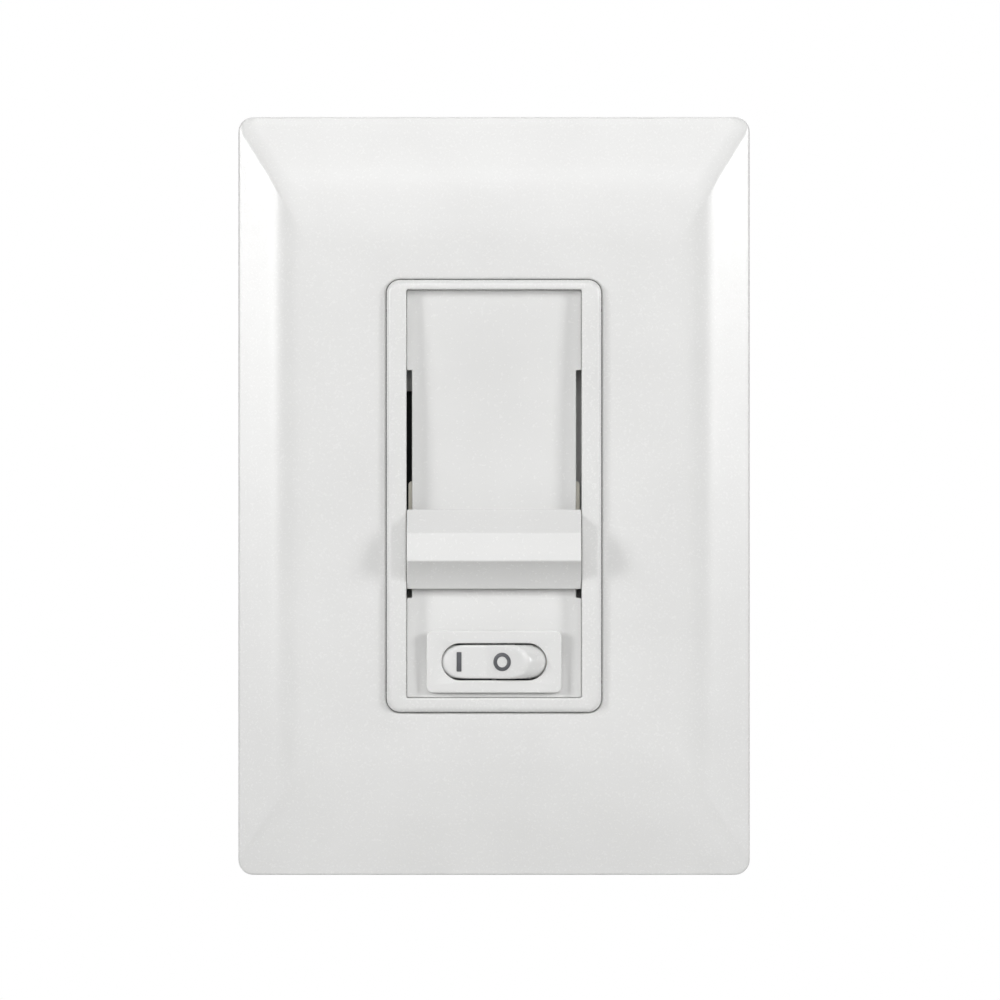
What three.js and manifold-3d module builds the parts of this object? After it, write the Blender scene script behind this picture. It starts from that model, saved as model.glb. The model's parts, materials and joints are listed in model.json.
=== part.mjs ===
// Slide dimmer with an on/off rocker, for a single-gang wall box, behind a screwless wall plate.
// Millimetres. +Z is up, +X is right and the plate faces -Y. The wall plane is Y = 0 and the
// origin is the centre of the plate on the wall. Depths named "front" are negative Y values.

import * as THREE from 'three';
import { mergeVertices } from 'three/addons/utils/BufferGeometryUtils.js';
import Module from 'manifold-3d';

const wasm = await Module();
wasm.setup();

// ---- Driving dimensions -------------------------------------------------------------------

const GAP = 0.3; // left between pieces that touch on the real object
const CORNER_STEPS = 3;
const ROUND_STEPS = 12;

// wall plate cover, a soft pillow with a designer opening
const COVER = { width: 79, height: 117.1, corner: 2.3, front: -7.5, rim: 2.8, wall: 1.5 };
const PILLOW = { side: 12, end: 19, straight: 0.4, steps: 6 };
const OPENING = { width: 33.3, height: 66.8, corner: 2.2, collar: 1.5, depth: 2.8 };

// mounting sub-plate behind the cover
const SUBPLATE = { width: 69, height: 103, corner: 3, front: -3.2, back: -1.9 };
const BOX_SCREW_SPACING = 83.3; // screws into the wall box
const PLATE_SCREW_SPACING = 96.8; // screws that hold the sub-plate on the strap

// aluminium strap
const STRAP = { width: 44.4, height: 72, earWidth: 33, earHeight: 105, front: -1.6, back: 0 };
const CLEARANCE = { plateScrew: 1.85, housingScrew: 1.75, groundScrew: 2.1 }; // hole radii
const LEVER_SLOT = { left: -13.9, right: -9.6, bottom: -8.2, top: 16.2 };
const SHEET = { width: 31, bottom: -31.6, top: 24, front: -2.1, back: -1.9 }; // insulates the strap

// face: bezel frame, recessed panel and the slots beside it
const BEZEL = { width: 32.7, height: 66.3, corner: 1.9, front: -8.6, edge: 0.6, back: -2.4 };
const RECESS = { width: 27, bottom: -31.1, top: 31.8, corner: 0.3 };
const PANEL = { front: -6.9, back: -5.3 };
const LEG_SLOT = { inner: 12.65, bottom: -15.7, top: 19.4 };
const PEG = { x: 9.3, z: 3.75, radius: 0.45, back: -5.8 }; // hold the rocker's pad

// slider
const KNOB = { width: 26.6, top: -2.1, ridge: -5.7, lip: -10, bottom: -14.3, bevel: 0.2 };
const KNOB_DEPTH = { back: -7.1, top: -8.3, ridge: -11.6, lip: -12.3, bottom: -7.8 };
const SCOOP = { depth: -9.9, z: -11.4 }; // bends the underside of the knob inwards
const LEG = { inner: 12.82, outer: 13.22, bottom: -13, top: -4, back: -2.45, footInner: 11.9 };
const CARRIAGE = { width: 26.4, bottom: -14.5, top: 2.3, front: -4.9, back: -3.3 };
const LEVER = { x: -10.7, z: -6, width: 1, height: 3.6 };

// rocker: a see-saw button with two flat facets that meet at TILT
const ROCKER_Z = -25.55;
const TILT = THREE.MathUtils.degToRad(10);
const PIVOT_Y = -1.36;
const ROCKER = { height: 5.2, reach: 10.08, cornerX: 6.514, cornerDepth: 7.69, stem: 2.4 };
const PAD = { width: 20.8, height: 9.6, corner: 1, front: -7.9, back: -7.2 };
const PILL = { width: 16.2, height: 5.7 };
const AXLE_RADIUS = 0.75;
const BLADE_TILT = THREE.MathUtils.degToRad(6);
const BLADE = { y: 6.45, halfLength: 8.2, thickness: 0.5, height: 4.4 };
const CRADLE = { halfWidth: 11.7, halfHeight: 5, front: -5, back: 11.5, clearance: 0.35 };

// electronics
const POT = { left: -15.2, right: -6.2, bottom: -14, top: 22, front: 0.4, back: 7.4, wall: 0.8 };
const BOARD = { halfWidth: 19, bottom: -17.5, top: 26, front: 8.4, back: 10 };
const TRIAC = { x: 8, bottom: 7, bodyTop: 16, tabTop: 22.5, halfWidth: 5, screwZ: 19.5 };

// back housing and its hardware
const HOUSING = { width: 43, height: 68, corner: 2.5, front: 0.3, back: 29.3, wall: 1.8 };
const HOUSING_SCREW = { x: 17.5, z: 30 };
const TERMINAL = { y: 17.5, half: 4.5, floor: 18.1, bore: 1.85 };
const TERMINALS = [
  { name: 'line', side: 1, z: 15 },
  { name: 'load', side: 1, z: -5 },
  { name: 'traveller', side: -1, z: 15 },
];
const GROUND_SCREW = { x: -11.5, z: -45 };

// ---- Finishes -----------------------------------------------------------------------------

const WHITE_PLASTIC = { color: 0xf1f1ef, roughness: 0.35, metalness: 0 };
const BLACK_PLASTIC = { color: 0x2a2b2d, roughness: 0.5, metalness: 0 };
const NATURAL_NYLON = { color: 0xe6e1d3, roughness: 0.5, metalness: 0 };
const BROWN_PHENOLIC = { color: 0x7a4f2b, roughness: 0.6, metalness: 0 };
const ALUMINIUM = { color: 0xb9bcc0, roughness: 0.4, metalness: 1 };
const ZINC_STEEL = { color: 0xc6c8c9, roughness: 0.3, metalness: 1 };
const BLACK_STEEL = { color: 0x1e1f21, roughness: 0.55, metalness: 0.4 };
const BRASS = { color: 0xc9a255, roughness: 0.3, metalness: 1 };
const COPPER = { color: 0xb8683a, roughness: 0.35, metalness: 1 };
const GREEN_STEEL = { color: 0x2f7d46, roughness: 0.35, metalness: 0.6 };
const FIBRE = { color: 0xc2ab84, roughness: 0.9, metalness: 0 };
const FERRITE = { color: 0x3a3a3c, roughness: 0.7, metalness: 0 };
const BOARD_GREEN = { color: 0x2c6e49, roughness: 0.5, metalness: 0 };
const FILM_RED = { color: 0xa63a2b, roughness: 0.4, metalness: 0 };
const RESISTOR_TAN = { color: 0xc8a877, roughness: 0.5, metalness: 0 };

// ---- Shapes and solids --------------------------------------------------------------------

// A rounded rectangle centred on (cx, cz).
function roundedRectangle(width, height, radius, cx = 0, cz = 0) {
  const shape = new THREE.Shape();
  const halfX = width / 2 - radius;
  const halfZ = height / 2 - radius;
  shape.moveTo(cx + halfX + radius, cz - halfZ);
  shape.absarc(cx + halfX, cz + halfZ, radius, 0, Math.PI / 2);
  shape.absarc(cx - halfX, cz + halfZ, radius, Math.PI / 2, Math.PI);
  shape.absarc(cx - halfX, cz - halfZ, radius, Math.PI, 1.5 * Math.PI);
  shape.absarc(cx + halfX, cz - halfZ, radius, 1.5 * Math.PI, 2 * Math.PI);
  return shape;
}

// An outline in X and Z, given thickness between two depths.
function slab(shape, front, back, curveSegments = CORNER_STEPS) {
  const settings = { depth: back - front, bevelEnabled: false, curveSegments };
  const geometry = new THREE.ExtrudeGeometry(shape, settings);
  geometry.rotateX(Math.PI / 2);
  geometry.translate(0, back, 0);
  return geometry;
}

function block(x0, x1, y0, y1, z0, z1) {
  const geometry = new THREE.BoxGeometry(x1 - x0, y1 - y0, z1 - z0);
  geometry.translate((x0 + x1) / 2, (y0 + y1) / 2, (z0 + z1) / 2);
  return geometry;
}

// A block whose X range lies on one side of the centre plane.
function sideBlock(side, inner, outer, y0, y1, z0, z1) {
  const [x0, x1] = side < 0 ? [-outer, -inner] : [inner, outer];
  return block(x0, x1, y0, y1, z0, z1);
}

// A round bar along Y between two depths.
function bar(radius, y0, y1, x, z, steps = ROUND_STEPS) {
  const geometry = new THREE.CylinderGeometry(radius, radius, y1 - y0, steps);
  geometry.translate(x, (y0 + y1) / 2, z);
  return geometry;
}

// A round bar along Z, centred on z.
function uprightBar(radius, length, x, y, z, steps = ROUND_STEPS) {
  const geometry = new THREE.CylinderGeometry(radius, radius, length, steps);
  geometry.rotateX(Math.PI / 2);
  geometry.translate(x, y, z);
  return geometry;
}

// A solid of revolution about Y. The profile holds [radius, y] pairs.
function turned(profile, steps = ROUND_STEPS) {
  const points = profile.map(([radius, y]) => new THREE.Vector2(radius, y));
  return new THREE.LatheGeometry(points, steps);
}

function toSolid(geometry) {
  const bare = geometry.clone();
  bare.deleteAttribute('normal');
  bare.deleteAttribute('uv');
  const merged = mergeVertices(bare.index ? bare.toNonIndexed() : bare, 1e-4);
  const corners = merged.index.array;
  const kept = [];
  for (let i = 0; i < corners.length; i += 3) {
    const [a, b, c] = corners.slice(i, i + 3);
    if (a !== b && b !== c && c !== a) {
      kept.push(a, b, c);
    }
  }
  return new wasm.Manifold(new wasm.Mesh({
    numProp: 3,
    vertProperties: Float32Array.from(merged.attributes.position.array),
    triVerts: Uint32Array.from(kept),
  }));
}

function toGeometry(solid) {
  const mesh = solid.getMesh();
  const geometry = new THREE.BufferGeometry();
  geometry.setAttribute('position', new THREE.BufferAttribute(mesh.vertProperties, 3));
  geometry.setIndex(new THREE.BufferAttribute(mesh.triVerts, 1));
  geometry.computeVertexNormals();
  return geometry;
}

function join(first, ...others) {
  return toGeometry(others.reduce((sum, other) => sum.add(toSolid(other)), toSolid(first)));
}

function cut(first, ...others) {
  return toGeometry(others.reduce((rest, other) => rest.subtract(toSolid(other)), toSolid(first)));
}

function common(first, second) {
  return toGeometry(toSolid(first).intersect(toSolid(second)));
}

// The points of a rounded rectangle at one depth, for a loft.
function ring(width, height, radius, y, cz = 0) {
  const points = [];
  for (let corner = 0; corner < 4; corner += 1) {
    const signX = corner === 0 || corner === 3 ? 1 : -1;
    const signZ = corner < 2 ? 1 : -1;
    for (let i = 0; i <= CORNER_STEPS; i += 1) {
      const angle = ((corner + i / CORNER_STEPS) * Math.PI) / 2;
      const x = signX * (width / 2 - radius) + radius * Math.cos(angle);
      const z = cz + signZ * (height / 2 - radius) + radius * Math.sin(angle);
      points.push([x, y, z]);
    }
  }
  return points;
}

// Joins equal rings into one closed skin: round a frame, or capped at both ends, from the
// rearmost ring forwards.
function loft(rings, capped) {
  const count = rings[0].length;
  const index = [];
  const bands = capped ? rings.length - 1 : rings.length;
  for (let r = 0; r < bands; r += 1) {
    const next = (r + 1) % rings.length;
    for (let i = 0; i < count; i += 1) {
      const j = (i + 1) % count;
      index.push(r * count + i, r * count + j, next * count + j);
      index.push(r * count + i, next * count + j, next * count + i);
    }
  }
  if (capped) {
    const last = (rings.length - 1) * count;
    for (let i = 1; i < count - 1; i += 1) {
      index.push(0, i + 1, i);
      index.push(last, last + i, last + i + 1);
    }
  }
  const geometry = new THREE.BufferGeometry();
  geometry.setAttribute('position', new THREE.Float32BufferAttribute(rings.flat(2), 3));
  geometry.setIndex(index);
  geometry.computeVertexNormals();
  return geometry;
}

const dimmer = new THREE.Group();
dimmer.name = 'slide_dimmer';

function add(name, geometry, finish, parent = dimmer) {
  const mesh = new THREE.Mesh(geometry, new THREE.MeshStandardMaterial(finish));
  mesh.name = name;
  parent.add(mesh);
  return mesh;
}

// A screw along Y with its head at y = 0 and its shank towards +Y. A flat head is a cone.
function screw({ head, headDepth, flat = false, shank, length, recess = 'slot' }) {
  const flatHead = [[0, 0], [head, 0], [shank, headDepth]];
  const panHead = [[0, 0], [0.7 * head, 0], [head, 0.45 * headDepth], [head, headDepth], [shank, headDepth]];
  const geometry = turned([
    ...(flat ? flatHead : panHead),
    [shank, length - shank],
    [0.5 * shank, length],
    [0, length],
  ]);
  const half = 0.13 * head;
  const reach = recess === 'slot' ? head + 1 : 0.55 * head;
  const depth = 0.5 * headDepth;
  const across = block(-reach, reach, -1, depth, -half, half);
  if (recess === 'slot') {
    return cut(geometry, across);
  }
  return cut(geometry, across, block(-half, half, -1, depth, -reach, reach));
}

// ---- Wall plate cover and sub-plate -------------------------------------------------------

// How far the pillow has risen at t, from 0 at the rim to 1 where the flat field begins:
// a straight slope that eases into the flat.
function pillowRise(t) {
  const rise = -COVER.front - COVER.rim;
  const slope = (2 * rise) / (1 + PILLOW.straight);
  if (t <= PILLOW.straight) {
    return slope * t;
  }
  const past = t - PILLOW.straight;
  return slope * (t - (past * past) / (2 * (1 - PILLOW.straight)));
}

function pillowRing(t, inset) {
  const width = COVER.width - 2 * inset - 2 * t * (PILLOW.side - inset);
  const height = COVER.height - 2 * inset - 2 * t * (PILLOW.end - inset);
  return ring(width, height, COVER.corner - 0.5 * inset, inset - COVER.rim - pillowRise(t));
}

function wallPlateCover() {
  const { width, height, corner, front, rim, wall } = COVER;
  const { collar, depth } = OPENING;
  const rings = [ring(width, height, corner, 0), ring(width, height, corner, 0.3 - rim)];
  for (let step = 0; step <= PILLOW.steps; step += 1) {
    rings.push(pillowRing(Math.max(0.02, step / PILLOW.steps), 0));
  }
  rings.push(ring(OPENING.width + 0.6, OPENING.height + 0.6, OPENING.corner + 0.3, front));
  rings.push(ring(OPENING.width, OPENING.height, OPENING.corner, front + 0.3));
  rings.push(ring(OPENING.width, OPENING.height, OPENING.corner, front + depth));
  const outer = [OPENING.width + 2 * collar, OPENING.height + 2 * collar, OPENING.corner + collar];
  rings.push(ring(...outer, front + depth));
  rings.push(ring(...outer, front + wall));
  for (let step = PILLOW.steps; step >= 0; step -= 2) {
    rings.push(pillowRing(step / PILLOW.steps, wall));
  }
  rings.push(ring(width - 2 * wall, height - 2 * wall, corner - wall / 2, 0));
  const shell = loft(rings, false);
  return join(shell, ...snapHooks());
}

// Hooks inside the cover's long ends that snap behind the ends of the sub-plate.
function snapHooks() {
  const hooks = [];
  const halfWidth = 4;
  const inner = SUBPLATE.height / 2 + 0.4;
  const thickness = 1.5;
  const barb = 1.1;
  for (const x of [-24, 24]) {
    for (const side of [-1, 1]) {
      const finger = [side * inner, side * (inner + thickness)].sort((a, b) => a - b);
      hooks.push(block(x - halfWidth, x + halfWidth, -3.9, -0.8, ...finger));
      const catcher = [side * (inner - barb), side * (inner + 1)].sort((a, b) => a - b);
      hooks.push(block(x - halfWidth, x + halfWidth, -1.5, -0.8, ...catcher));
    }
  }
  return hooks;
}

function mountingSubplate() {
  const { width, height, corner, front, back } = SUBPLATE;
  const shape = roundedRectangle(width, height, corner);
  const tools = [slab(roundedRectangle(34, 67.4, 1.5), front - 1, back + 1)];
  for (const side of [-1, 1]) {
    const notch = roundedRectangle(9, 24, 1.5, 0, side * 33);
    tools.push(slab(notch, front - 1, back + 1));
    const z = (side * PLATE_SCREW_SPACING) / 2;
    tools.push(bar(1.9, front - 1, back + 1, 0, z));
    const countersink = turned([[0, -0.01], [3.05, -0.01], [1.9, 1.2], [0, 1.2]]);
    countersink.translate(0, front, z);
    tools.push(countersink);
    for (const x of [-28, 28]) {
      tools.push(slab(roundedRectangle(3, 10, 1.4, x, side * 38), front - 1, back + 1));
    }
  }
  return cut(slab(shape, front, back), ...tools);
}

add('wall_plate_cover', wallPlateCover(), WHITE_PLASTIC);
add('mounting_subplate', mountingSubplate(), WHITE_PLASTIC);

for (const [side, name] of [[1, 'top'], [-1, 'bottom']]) {
  const plateScrew = screw({ head: 2.7, headDepth: 1.2, flat: true, shank: 1.5, length: 9 });
  const mesh = add(`subplate_screw_${name}`, plateScrew, ZINC_STEEL);
  mesh.position.set(0, SUBPLATE.front, (side * PLATE_SCREW_SPACING) / 2);
}

// ---- Strap, box screws and ground screw ---------------------------------------------------

function mountingStrap() {
  const { width, height, earWidth, earHeight, front, back } = STRAP;
  const body = slab(roundedRectangle(width, height, 3), front, back);
  const ears = slab(roundedRectangle(earWidth, earHeight, 2.5), front, back);
  const tools = [];
  const hole = (holeWidth, holeHeight, radius, x, z) => {
    tools.push(slab(roundedRectangle(holeWidth, holeHeight, radius, x, z), front - 1, back + 1));
  };
  for (const side of [-1, 1]) {
    hole(7, 4.2, 2, 0, (side * BOX_SCREW_SPACING) / 2);
    tools.push(bar(CLEARANCE.plateScrew, front - 1, back + 1, 0, (side * PLATE_SCREW_SPACING) / 2));
    for (const x of [-HOUSING_SCREW.x, HOUSING_SCREW.x]) {
      tools.push(bar(CLEARANCE.housingScrew, front - 1, back + 1, x, side * HOUSING_SCREW.z));
    }
  }
  tools.push(...workingOpenings(front, back));
  tools.push(bar(CLEARANCE.housingScrew, front - 1, back + 1, TRIAC.x, TRIAC.screwZ));
  tools.push(bar(CLEARANCE.groundScrew, front - 1, back + 1, GROUND_SCREW.x, GROUND_SCREW.z));
  return cut(join(body, ears), ...tools);
}

// Openings for the potentiometer's lever and the rocker's cradle, which the strap and the
// insulating sheet share.
function workingOpenings(front, back) {
  const { left, right, bottom, top } = LEVER_SLOT;
  const lever = roundedRectangle(right - left, top - bottom, 0.4, (left + right) / 2, (bottom + top) / 2);
  const width = 2 * (CRADLE.halfWidth + CRADLE.clearance);
  const height = 2 * (CRADLE.halfHeight + CRADLE.clearance);
  const cradle = roundedRectangle(width, height, 0.6, 0, ROCKER_Z);
  return [lever, cradle].map((shape) => slab(shape, front - 1, back + 1));
}

function insulatingSheet() {
  const { width, bottom, top, front, back } = SHEET;
  const shape = roundedRectangle(width, top - bottom, 1, 0, (top + bottom) / 2);
  const triacHole = bar(CLEARANCE.housingScrew, front - 1, back + 1, TRIAC.x, TRIAC.screwZ);
  return cut(slab(shape, front, back), ...workingOpenings(front, back), triacHole);
}

add('mounting_strap', mountingStrap(), ALUMINIUM);
add('insulating_sheet', insulatingSheet(), WHITE_PLASTIC);

for (const [side, name] of [[1, 'top'], [-1, 'bottom']]) {
  const z = (side * BOX_SCREW_SPACING) / 2;
  const boxScrew = screw({ head: 3, headDepth: 2, shank: 1.5, length: 25 });
  const mesh = add(`box_screw_${name}`, boxScrew, ZINC_STEEL);
  mesh.position.set(0, STRAP.front - GAP - 2, z);
  const washer = cut(bar(4, GAP, 0.9, 0, z), bar(1.8, 0, 1.2, 0, z));
  add(`captive_washer_${name}`, washer, FIBRE);
}

const groundPlate = cut(
  slab(roundedRectangle(9, 8, 0.6, GROUND_SCREW.x, GROUND_SCREW.z), GAP, 1.2),
  bar(CLEARANCE.groundScrew, 0, 2, GROUND_SCREW.x, GROUND_SCREW.z),
);
add('ground_clamp_plate', groundPlate, BRASS);
const groundScrew = add(
  'ground_screw',
  screw({ head: 3.6, headDepth: 2.6, shank: 1.8, length: 5.4 }),
  GREEN_STEEL,
);
groundScrew.rotation.z = Math.PI;
groundScrew.position.set(GROUND_SCREW.x, 4.1, GROUND_SCREW.z);

// ---- Bezel and face panel -----------------------------------------------------------------

const RECESS_HEIGHT = RECESS.top - RECESS.bottom;
const RECESS_Z = (RECESS.top + RECESS.bottom) / 2;

function faceBezel() {
  const { width, height, corner, front, edge, back } = BEZEL;
  const inner = (grow, y) => {
    const [w, h] = [RECESS.width + 2 * grow, RECESS_HEIGHT + 2 * grow];
    return ring(w, h, RECESS.corner + grow, y, RECESS_Z);
  };
  const frame = loft([
    ring(width, height, corner, back),
    ring(width, height, corner, front + edge),
    ring(width - 0.6 * edge, height - 0.6 * edge, corner - 0.3 * edge, front + 0.3 * edge),
    ring(width - 2 * edge, height - 2 * edge, corner - edge, front),
    inner(0.3, front),
    inner(0, front + 0.3),
    inner(0, back),
  ], false);
  // ledges that the panel rests on, let a little into the frame's inner walls
  const embed = 0.4;
  const wall = RECESS.width / 2 + embed;
  const ledgeFront = PANEL.back + GAP;
  const ledges = [block(-12, 12, ledgeFront, back, 29.3, RECESS.top + embed)];
  for (const side of [-1, 1]) {
    const inner = CRADLE.halfWidth + embed;
    ledges.push(sideBlock(side, inner, wall, ledgeFront, back, RECESS.bottom - embed, -27));
  }
  return join(frame, ...ledges);
}

function facePanel() {
  const { front, back } = PANEL;
  const height = RECESS_HEIGHT - 2 * GAP;
  const shape = roundedRectangle(RECESS.width - 2 * GAP, height, 0.3, 0, RECESS_Z);
  const tools = [slab(roundedRectangle(19.2, 5.9, 2.9, 0, ROCKER_Z), front - 1, back + 1)];
  for (const side of [-1, 1]) {
    const { inner, bottom, top } = LEG_SLOT;
    tools.push(sideBlock(side, inner, inner + 2, front - 1, back + 1, bottom, top));
    for (const x of [-PEG.x, PEG.x]) {
      tools.push(bar(PEG.radius + GAP, front - 1, back + 1, x, ROCKER_Z + side * PEG.z, 8));
    }
  }
  return cut(slab(shape, front, back), ...tools);
}

// The pad round the rocker: a pill-shaped mouth, wider behind so that the rocker can swing.
function rockerEscutcheon() {
  const { width, height, corner, front, back } = PAD;
  const mouthShape = roundedRectangle(PILL.width, PILL.height, PILL.height / 2, 0, ROCKER_Z);
  const mouth = slab(mouthShape, front - 1, back + 1, 8);
  const flare = loft([
    ring(17.6, 5.9, 2.9, back + 0.1, ROCKER_Z),
    ring(PILL.width - 0.1, 5.6, 2.75, front + 0.25, ROCKER_Z),
  ], true);
  const pad = cut(slab(roundedRectangle(width, height, corner, 0, ROCKER_Z), front, back), mouth, flare);
  const pegs = [];
  for (const x of [-PEG.x, PEG.x]) {
    for (const z of [-PEG.z, PEG.z]) {
      pegs.push(bar(PEG.radius, back - 0.3, PEG.back, x, ROCKER_Z + z, 8));
    }
  }
  return join(pad, ...pegs);
}

add('face_bezel', faceBezel(), WHITE_PLASTIC);
add('face_panel', facePanel(), WHITE_PLASTIC);
add('rocker_escutcheon', rockerEscutcheon(), WHITE_PLASTIC);

// ---- Slider -------------------------------------------------------------------------------

// The knob's side profile, in depth and height, swept along X: ramp, ridge, lip and scoop.
function sliderKnob() {
  const profile = new THREE.Shape();
  profile.moveTo(-KNOB_DEPTH.back, KNOB.top);
  profile.lineTo(-KNOB_DEPTH.back, KNOB.bottom);
  profile.lineTo(-KNOB_DEPTH.bottom, KNOB.bottom);
  profile.quadraticCurveTo(-SCOOP.depth, SCOOP.z, -KNOB_DEPTH.lip, KNOB.lip);
  profile.lineTo(-KNOB_DEPTH.ridge, KNOB.ridge);
  profile.lineTo(-KNOB_DEPTH.top, KNOB.top);
  const { bevel } = KNOB;
  const body = new THREE.ExtrudeGeometry(profile, {
    depth: KNOB.width - 2 * bevel,
    bevelThickness: bevel,
    bevelSize: bevel,
    bevelOffset: -bevel,
    bevelSegments: 1,
    curveSegments: 6,
  });
  // the sweep runs along Z of the profile's plane: turn depth to -Y, height to Z, length to X
  body.applyMatrix4(new THREE.Matrix4().makeBasis(
    new THREE.Vector3(0, -1, 0),
    new THREE.Vector3(0, 0, 1),
    new THREE.Vector3(-1, 0, 0),
  ));
  body.translate(KNOB.width / 2 - bevel, 0, 0);
  const legs = [];
  const { inner, outer, bottom, top, footInner } = LEG;
  for (const side of [-1, 1]) {
    legs.push(sideBlock(side, inner, outer, KNOB_DEPTH.back - 0.5, LEG.back, bottom, top));
    legs.push(sideBlock(side, footInner, outer, LEG.back - 0.5, LEG.back, bottom, top));
  }
  return join(body, ...legs);
}

function sliderCarriage() {
  const { width, bottom, top, front, back } = CARRIAGE;
  const plate = slab(roundedRectangle(width, top - bottom, 0.6, 0, (top + bottom) / 2), front, back);
  const tools = [];
  for (const side of [-1, 1]) {
    const [z0, z1] = [LEG.bottom - GAP, LEG.top + GAP];
    tools.push(sideBlock(side, LEG.inner - GAP, LEG.outer + 1, front - 1, back + 1, z0, z1));
  }
  const [x0, x1] = [LEVER.x - LEVER.width / 2 - GAP, LEVER.x + LEVER.width / 2 + GAP];
  const [z0, z1] = [LEVER.z - LEVER.height / 2 - GAP, LEVER.z + LEVER.height / 2 + GAP];
  tools.push(block(x0, x1, front - 1, back + 1, z0, z1));
  // a shallow pocket that saves plastic in the middle
  tools.push(block(-6, 8, front - 1, front + 1, bottom + 3, top - 3));
  return cut(plate, ...tools);
}

add('slider_knob', sliderKnob(), WHITE_PLASTIC);
add('slider_carriage', sliderCarriage(), NATURAL_NYLON);

// ---- Slide potentiometer ------------------------------------------------------------------

function potentiometerCase() {
  const { left, right, bottom, top, front, back, wall } = POT;
  const shell = block(left, right, front, back, bottom, top);
  const cavity = block(left + wall, right - wall, front + wall, back + 1, bottom + wall, top - wall);
  const slotHalf = LEVER.width / 2 + 0.5;
  const [x0, x1] = [LEVER.x - slotHalf, LEVER.x + slotHalf];
  const slot = block(x0, x1, front - 1, front + 2, LEVER_SLOT.bottom, LEVER_SLOT.top);
  return cut(shell, cavity, slot);
}

const trackInset = POT.wall + GAP;
const trackBlock = block(
  POT.left + trackInset, POT.right - trackInset, 6.5, 7.3, POT.bottom + trackInset, POT.top - trackInset,
);
const wiper = join(
  block(-13.6, -7.8, 1.9, 4.2, LEVER.z - 2.6, LEVER.z + 2.6),
  block(-12.2, -11.4, 4, 6.1, LEVER.z - 1.5, LEVER.z + 1.5),
  block(-10, -9.2, 4, 6.1, LEVER.z - 1.5, LEVER.z + 1.5),
);
const leverX = [LEVER.x - LEVER.width / 2, LEVER.x + LEVER.width / 2];
const leverZ = [LEVER.z - LEVER.height / 2, LEVER.z + LEVER.height / 2];
add('potentiometer_case', potentiometerCase(), BLACK_STEEL);
add('potentiometer_track', trackBlock, BROWN_PHENOLIC);
add('potentiometer_wiper', wiper, COPPER);
add('potentiometer_lever', block(...leverX, -4.5, 1.6, ...leverZ), NATURAL_NYLON);

// ---- Rocker and its contacts --------------------------------------------------------------

// The rocker is drawn about its pivot in its level position, then turned to its rest position.
const rocker = new THREE.Group();
rocker.position.set(0, PIVOT_Y, ROCKER_Z);
rocker.rotation.z = -TILT;
dimmer.add(rocker);

function rockerButton() {
  const { height, reach, cornerX, cornerDepth, stem } = ROCKER;
  const slope = Math.tan(TILT);
  const outerX = 11;
  const outerDepth = cornerDepth + (outerX - cornerX) * slope;
  const valley = cornerDepth - cornerX * slope;
  const skirt = 4.9;
  const shape = new THREE.Shape();
  const half = [[outerX, outerDepth], [outerX, skirt], [6.5, skirt], [stem, 4.4], [stem, -4.8]];
  shape.moveTo(0, valley);
  half.forEach(([x, depth]) => shape.lineTo(x, depth));
  half.reverse().forEach(([x, depth]) => shape.lineTo(-x, depth));
  shape.closePath();
  const body = new THREE.ExtrudeGeometry(shape, { depth: height, bevelEnabled: false });
  body.translate(0, 0, -height / 2);
  // depth was drawn forwards along +Y, and the plate faces -Y
  body.rotateX(Math.PI);
  const round = height / 2;
  const disc = [[0, -round]];
  for (let step = 0; step <= 6; step += 1) {
    const angle = ((step / 6) - 0.5) * Math.PI;
    disc.push([reach - round + round * Math.cos(angle), round * Math.sin(angle)]);
  }
  disc.push([0, round]);
  const wheel = turned(disc, 72);
  wheel.rotateX(Math.PI / 2);
  const bore = bar(1.5, 1.5, 6, 0, 0, 12);
  const axleHole = uprightBar(AXLE_RADIUS + GAP, height + 2, 0, 0, 0, 12);
  return cut(common(body, wheel), bore, axleHole);
}

function rockerSpring() {
  const radius = 0.95;
  const wire = 0.18;
  const start = 1.85;
  const length = 2;
  const count = 28; // points on three and a half turns, eight to a turn
  const points = [];
  for (let i = 0; i <= count; i += 1) {
    const angle = (i / 8) * 2 * Math.PI;
    const y = start + (length * i) / count;
    points.push(new THREE.Vector3(radius * Math.cos(angle), y, radius * Math.sin(angle)));
  }
  const section = new THREE.Shape();
  section.absarc(0, 0, wire, 0, 2 * Math.PI);
  return new THREE.ExtrudeGeometry(section, {
    extrudePath: new THREE.CatmullRomCurve3(points),
    steps: points.length - 1,
    curveSegments: 3,
    bevelEnabled: false,
  });
}

add('rocker_button', rockerButton(), WHITE_PLASTIC, rocker);
add('rocker_spring', rockerSpring(), ZINC_STEEL, rocker);
const plunger = turned([[0, 4.35], [1.2, 4.35], [1.2, 6.4], [0.8, 7], [0, 7.2]], 12);
add('rocker_plunger', plunger, NATURAL_NYLON, rocker);
add('rocker_axle', uprightBar(AXLE_RADIUS, 9.4, 0, PIVOT_Y, ROCKER_Z, 12), ZINC_STEEL);

const blade = new THREE.Group();
blade.position.set(0, BLADE.y, ROCKER_Z);
blade.rotation.z = BLADE_TILT;
dimmer.add(blade);
const bladeHalf = BLADE.thickness / 2;
add('contact_blade', join(
  block(-BLADE.halfLength, BLADE.halfLength, -bladeHalf, bladeHalf, -BLADE.height / 2, BLADE.height / 2),
  bar(1, 0, 1, 7.1, 0, 12),
), COPPER, blade);

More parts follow.
